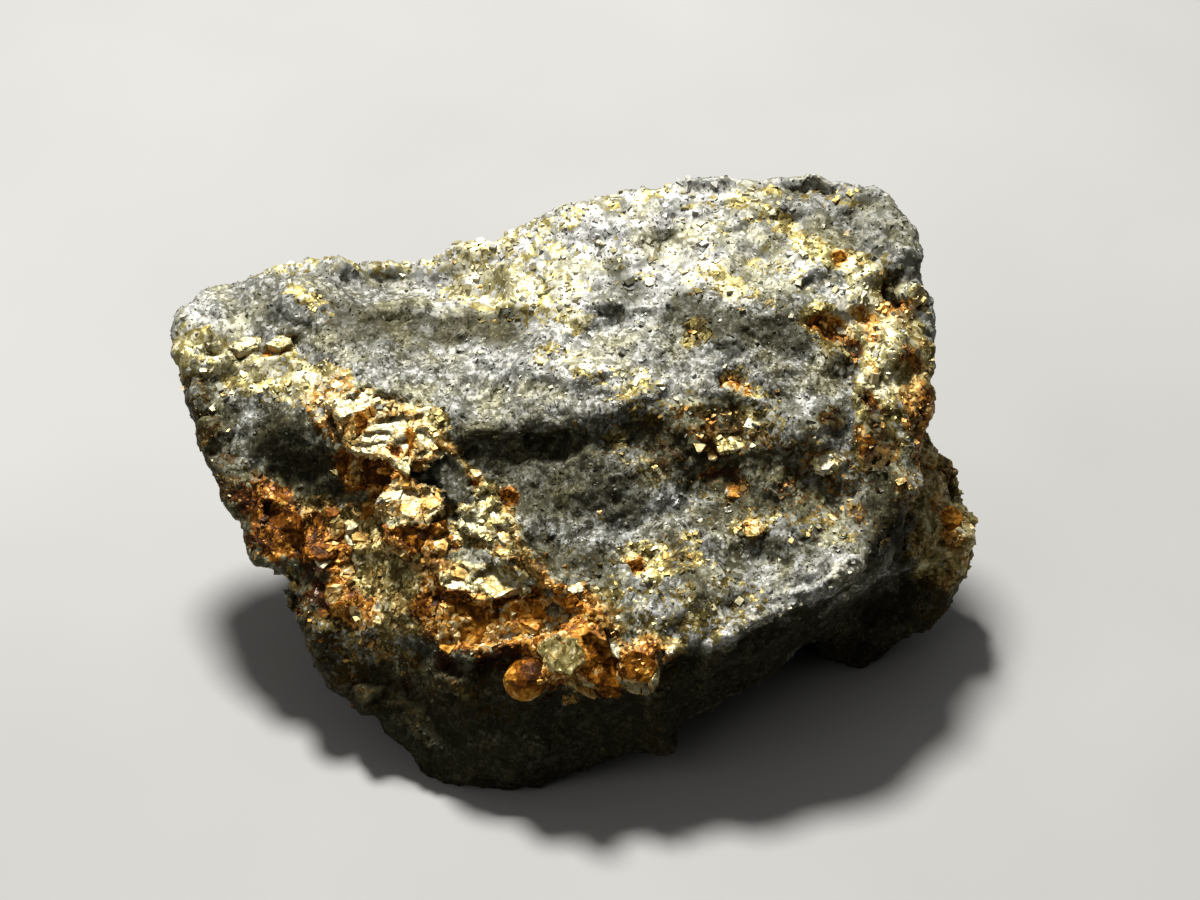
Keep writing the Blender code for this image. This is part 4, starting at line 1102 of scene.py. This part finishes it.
roundCrystal = {
    "pixel": (528, 678),
    "across": 47,
    "down": 39,
    "turn": -20,
    "buried": 0.95,
    "stuff": "ruby amber",
    "tone": 0.58,
    "paintedLight": (-0.8, 0, -0.6),  # the side where its tone is lightest, a painted highlight, with painted shade on the far side
    "paintedLightRun": 0.42,
    "mottle": (0.2, 3),
    "facets": 1.6,
    "bulge": (0.22, 0.9),
    "rough": (0.05, 9),
}


def mark(layers, verts, tone, stuff):
    gold, rust = stuffs[stuff]
    for vert in verts:
        vert[layers["tone"]] = tone
        vert[layers["gold"]] = gold
        vert[layers["rust"]] = rust


def crystalFace(mesh, layers, corners, leaning, stuff, tone):
    place, normal, surface = facePlane(corners, leaning)
    verts = [mesh.verts.new(onPlane(corner, place, normal)) for corner in corners]
    top = mesh.faces.new(verts)
    inward = -(normal + surface).normalized() * crystals["depth"] * mm
    pushed = bmesh.ops.extrude_face_region(mesh, geom=[top], use_keep_orig=True)
    lower = [item for item in pushed["geom"] if isinstance(item, bmesh.types.BMVert)]
    heart = sum((vert.co for vert in lower), Vector()) / len(lower)
    for vert in lower:
        vert.co += inward + (vert.co - heart) * crystals["widening"]
    mark(layers, verts, tone, stuff)
    mark(layers, lower, tone * crystals["footTone"] + crystals["footLift"], "amber")


def flake(mesh, layers, skin, u, v, width, stuff, rolls):
    place, surface = seat(u, v, skin)
    x, y, z = flakeForm["toward"]
    lean = flakeForm["lean"]
    toward = Vector((x + rolls.uniform(-lean, lean), y + rolls.uniform(-lean, lean), z)).normalized()
    turn = (toward + surface * flakeForm["follow"]).to_track_quat("Z", "Y")
    half = width * pixelMm() * mm / 2
    verts = []
    for _ in range(flakeForm["corners"]):
        angle, out = rolls.uniform(0, fullTurn), rolls.uniform(*flakeForm["width"]) * half
        rise = rolls.choice(flakeForm["rises"]) * half
        corner = Vector((math.cos(angle) * out, math.sin(angle) * out, rise))
        verts.append(mesh.verts.new(place + turn @ corner))
    bmesh.ops.convex_hull(mesh, input=verts)
    mark(layers, verts, flakeForm["tones"][stuff] + rolls.uniform(*flakeForm["toneChange"]), stuff)


def makeRoundCrystal(mesh, layers, skin):
    form = roundCrystal
    sight = sightRay(*form["pixel"])[1]
    place = seat(*form["pixel"], skin)[0] + sight * form["buried"] * mm
    ball = bmesh.ops.create_icosphere(mesh, subdivisions=3, radius=1)
    turn = Matrix.Rotation(math.radians(form["turn"]), 3, "Y")
    (swell, even), (mottle, perSpot), (rough, perBump) = form["bulge"], form["mottle"], form["rough"]
    mark(layers, ball["verts"], form["tone"], form["stuff"])
    for vert in ball["verts"]:
        # painted highlight and shade: the tone runs lighter towards one side of the crystal
        paintedLight = form["paintedLightRun"] * vert.co.dot(Vector(form["paintedLight"]))
        vert[layers["tone"]] += paintedLight + mottle * noise.noise(vert.co * perSpot)
        seed = noise.voronoi(vert.co * form["facets"])[1][0] / form["facets"]
        bumped = vert.co * (1 + swell * (seed.length - even)) + noise.noise_vector(seed * perBump) * rough
        across, down = form["across"], form["down"]
        sized = Vector((bumped.x * across, bumped.y * across, bumped.z * down)) * pixelMm() * mm / 2
        vert.co = place + turn @ sized


def makeCrystals(skin):
    mesh = bmesh.new()
    layers = {name: mesh.verts.layers.float.new(name) for name in ("tone", "gold", "rust")}
    rolls = random.Random(flakeForm["seed"])
    for faces in crystalFaces.values():
        for corners, leaning, stuff, tone in faces:
            crystalFace(mesh, layers, corners, leaning, stuff, tone)
    bmesh.ops.recalc_face_normals(mesh, faces=mesh.faces)
    bmesh.ops.bevel(mesh, geom=mesh.edges, offset=crystals["bevel"] * mm, affect="EDGES", segments=1,
                    profile=0.5, material=-1)
    bmesh.ops.triangulate(mesh, faces=mesh.faces)
    for _ in range(crystals["cuts"]):
        long = [edge for edge in mesh.edges if edge.calc_length() > crystals["finest"] * mm]
        bmesh.ops.subdivide_edges(mesh, edges=long, cuts=1)
        bmesh.ops.triangulate(mesh, faces=mesh.faces)
    for vert in mesh.verts:
        for cell, rise in crystals["grit"]:
            vert.co += noise.noise_vector(vert.co / (cell * mm)) * rise * mm
    for stuff, places in flakes.items():
        for u, v, width in places:
            flake(mesh, layers, skin, u, v, width, stuff, rolls)
    makeRoundCrystal(mesh, layers, skin)
    dropLoose(mesh)
    bmesh.ops.recalc_face_normals(mesh, faces=mesh.faces)
    made = bpy.data.meshes.new("crystal_faces")
    mesh.to_mesh(made)
    mesh.free()
    made.validate()  # takes out faces that lie twice on the same corners
    writePlaces(made, readPlaces(made)[0])
    made.materials.append(crystalFinish())
    print("crystals made", len(made.polygons), "triangles")
    return made


# finishes, with colour ramps from dark to light and patterns given by how many there are in a mm

greys = [(0.05, (0.012, 0.011, 0.004)), (0.30, (0.047, 0.045, 0.028)), (0.55, (0.125, 0.126, 0.110)),
         (0.80, (0.250, 0.250, 0.232)), (1.0, (0.38, 0.38, 0.365))]
olives = [(0.05, (0.012, 0.010, 0.003)), (0.30, (0.052, 0.046, 0.018)), (0.55, (0.141, 0.133, 0.068)),
          (0.80, (0.265, 0.255, 0.160)), (1.0, (0.40, 0.38, 0.28))]
brasses = [(0.05, (0.028, 0.019, 0.004)), (0.30, (0.110, 0.082, 0.022)), (0.55, (0.218, 0.182, 0.062)),
           (0.80, (0.335, 0.298, 0.145)), (1.0, (0.47, 0.44, 0.29))]
ambers = [(0.05, (0.022, 0.007, 0.001)), (0.35, (0.120, 0.038, 0.003)), (0.60, (0.310, 0.120, 0.010)),
          (0.82, (0.470, 0.250, 0.042)), (1.0, (0.55, 0.42, 0.20))]


oreLook = {
    "stains": (0.38, 4, 0.65),
    "patches": (0.45, 2, 0.5),
    "rustSpots": 0.8,
    "darkens": 0.75,  # how much darker the dark mask makes the rock, both dark ore and painted shade
    "blacker": 0.08,
    "goldMetal": 0.3,
    "rustDulls": 0.25,
}


def oreColour(f, level, isGold, rust, facet=0.5):
    stain = f.steps(f.noise(*oreLook["stains"]), 0.42, 0.66)
    strong = (level * 1.4 + facet * 0.35 - 0.375).clamp()
    grey = f.mix((stain * 0.75 + rust * 0.8).clamp(), f.ramp(level, greys), f.ramp(level, olives))
    gold = f.mix(rust, f.ramp(strong, brasses), f.ramp(strong, ambers))
    return f.mix(isGold, grey, gold)


def rusty(f, rust, mottle, offset):
    return f.steps(rust + mottle * 0.9 - offset, 0.1, 0.8)


def oreMetal(isGold, isRust, metal):
    return isGold * (oreLook["goldMetal"] - isRust * oreLook["rustDulls"]) + metal


bodyLook = {
    "lumps": 1.2,
    "grains": 3.6,
    "sparks": 7,
    "specks": (1.6, 4, 0.65),
    "facets": ((1.1, 0.15), (3.4, 0.25), (6.5, 0.3)),  # and how much they lean
    "hollowShade": 0.25,
    "metal": 0.2,
    "rough": 0.36,
    "specular": 0.1,
    "bump": (0.08, 0.5),
}


def bodyFinish():
    f, look = Finish("ore_body"), bodyLook
    gold, pale, dark, rust, hollow = f.attributes("gold", "pale", "dark", "rust", "hollow")
    lump, grain = f.first(f.cells(look["lumps"])), f.first(f.cells(look["grains"]))
    patch = f.noise(*oreLook["patches"])
    speck = f.noise(*look["specks"])
    # painted shade: the colour is darker where the skin lies in a hollow
    shade = f.steps(hollow, 0.6, 1.0) * look["hollowShade"]
    flecks = f.steps(grain, 0.62, 0.78) * 0.26 + f.steps(lump, 0.6, 0.75) * 0.12
    far = f.farShare()
    level = patch * 0.32 + grain * 0.08 + speck * (1 - far * 0.5) * 0.34 + far * 0.13 + pale * 0.27
    # the dark mask darkens the colour here: dark ore and painted shade
    level = level * (1 - dark * oreLook["darkens"]) + flecks * (1 - dark * 0.5)
    # painted glints: small bright cells lighten the colour
    sparks = f.steps(f.first(f.cells(look["sparks"])), 0.84, 0.92)
    sparkle = sparks * (1 - pale) * (1 - dark * 0.6) * (0.3 - far * 0.12)
    level = (level + sparkle - shade - dark * oreLook["blacker"]).clamp()
    isGold = f.steps(gold * 1.3 - lump * 0.35 - grain * 0.5, 0.0, 0.12)
    isRust = rusty(f, rust, f.noise(oreLook["rustSpots"]), 0.4)
    (broad, least), *finer = look["facets"]
    normal = f.tilted(broad, least)
    for perMm, lean in finer:
        normal = f.tilted(perMm, (1 - far * 0.6) * lean, normal)
    return f.set(Base_Color=oreColour(f, level, isGold, isRust, lump),
                 Metallic=oreMetal(isGold, isRust, look["metal"]),
                 Roughness=look["rough"] + grain * 0.3 + dark * 0.3,
                 Specular_IOR_Level=look["specular"],
                 Normal=f.bump(speck, *look["bump"], normal))


grainLook = {
    "specks": 0.9,
    "brightest": 0.22,
    "coarseFacets": 3.4,
    "fineFacets": (6.5, 0.3),
    "rough": 0.3,
    "specular": 0.2,
}


def grainFinish(recipe):
    f, look = Finish(recipe["finish"]), grainLook
    tone, pick, pale, dark, gold, rust = f.attributes("tone", "pick", "pale", "dark", "gold", "rust")
    patch = f.noise(*oreLook["patches"])
    speck = f.noise(look["specks"])
    far = f.farShare()
    level = patch * 0.3 + tone * 0.1 + speck * (1 - far * 0.5) * 0.32 + far * 0.12 + pale * 0.3
    # the dark mask darkens the grains here: dark ore and painted shade
    level = (level + recipe["lift"]) * (1 - dark * oreLook["darkens"]) - dark * oreLook["blacker"]
    level = (level + f.steps(tone, 0.55, 0.8) * look["brightest"] * (1 - dark * 0.4)).clamp()
    isGold = f.steps(gold * recipe["goldShare"] - pick, 0.0, 0.08)
    isRust = rusty(f, rust, f.noise(oreLook["rustSpots"]), 0.6 - tone * 0.4)
    perMm, lean = look["fineFacets"]
    return f.set(Base_Color=oreColour(f, level, isGold, isRust),
                 Metallic=oreMetal(isGold, isRust, recipe["metal"]),
                 Roughness=look["rough"] + tone * 0.3,
                 Specular_IOR_Level=look["specular"],
                 Normal=f.tilted(perMm, lean - far * 0.2, f.tilted(look["coarseFacets"], recipe["tilt"])))


crystalLook = {
    "grains": 2.6,
    "specks": (1.3, 4, 0.65),
    "cracks": 0.9,
    "crackWidth": 0.06,
    "stains": 0.7,
    "facets": (2.6, 0.25),
    "metal": 0.15,
    "rough": 0.3,
    "specular": 0.05,
    "bump": (0.12, 0.8),
}


def crystalFinish():
    f, look = Finish("crystal"), crystalLook
    tone, gold, rust = f.attributes("tone", "gold", "rust")
    grain = f.first(f.cells(look["grains"]))
    speck = f.noise(*look["specks"])
    seam = f.cells(look["cracks"], "Distance", "DISTANCE_TO_EDGE")
    crack = (1 - f.steps(seam, 0.0, look["crackWidth"])) * f.steps(speck, 0.45, 0.6)
    level = (tone * 0.88 + (speck - 0.5) * 1.1 + (grain - 0.5) * 0.3 - crack * 0.3).clamp()
    stain = f.noise(look["stains"])
    isGold = (gold + (stain - 0.45) * 1.2).clamp()
    isRust = rusty(f, rust, stain, 0.4 - crack * 0.5)
    return f.set(Base_Color=oreColour(f, level, isGold, isRust),
                 Metallic=isGold * (0.35 - isRust * 0.3) + look["metal"] - isRust * 0.1,
                 Roughness=look["rough"] + speck * 0.3,
                 Specular_IOR_Level=look["specular"],
                 Normal=f.bump(speck, *look["bump"], f.tilted(*look["facets"])))


floorSize = 1.5
floorGreys = [(0.3, (0.2, 0.2, 0.195)), (0.7, (0.225, 0.225, 0.22))]
skyGlow = [(0.0, (0.05, 0.05, 0.05)), (0.5, (0.36, 0.35, 0.33)), (1.0, (0.9, 0.9, 0.88))]
skyStrength = 0.5


def floorFinish():
    f = Finish("floor")
    return f.set(Base_Color=f.ramp(f.noise(0.02), floorGreys), Roughness=0.75)


def makeFloor():
    mesh = bpy.data.meshes.new("floor")
    work = bmesh.new()
    bmesh.ops.create_grid(work, x_segments=1, y_segments=1, size=floorSize)
    work.to_mesh(mesh)
    work.free()
    mesh.materials.append(floorFinish())
    newObject("floor", mesh)


def makeWorld():
    world = bpy.data.worlds.new("studio")
    bpy.context.scene.world = world
    world.use_nodes = True
    tree = world.node_tree
    way = makeNode(tree, "ShaderNodeTexCoord", out="Generated")
    split = makeNode(tree, "ShaderNodeSeparateXYZ", {}, {0: way})
    level = (split.other("Z") * 0.6 + split.other("Y") * 0.5 + 0.15).clamp()
    glow = makeNode(tree, "ShaderNodeValToRGB", {"stops": skyGlow}, {"Fac": level})
    background = tree.nodes["Background"]
    tree.links.new(glow.socket, background.inputs["Color"])
    background.inputs["Strength"].default_value = skyStrength


placeCamera()
placeLights()
makeWorld()
makeFloor()
bpy.context.scene.view_settings.view_transform = "Standard"
print("stage set")

bodyObject = newObject("ore_body", makeBody())

skinMesh = bmesh.new()
skinMesh.from_mesh(bodyObject.data)
bodySkin = BVHTree.FromBMesh(skinMesh)
skinMesh.free()
pieces = [bodyObject, newObject("crystal_faces", makeCrystals(bodySkin))]
pieces += [spreadGrains(name, bodyObject) for name in grains]

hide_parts("pyrite_magnetite_ore")
for piece in pieces:
    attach(piece, "root")
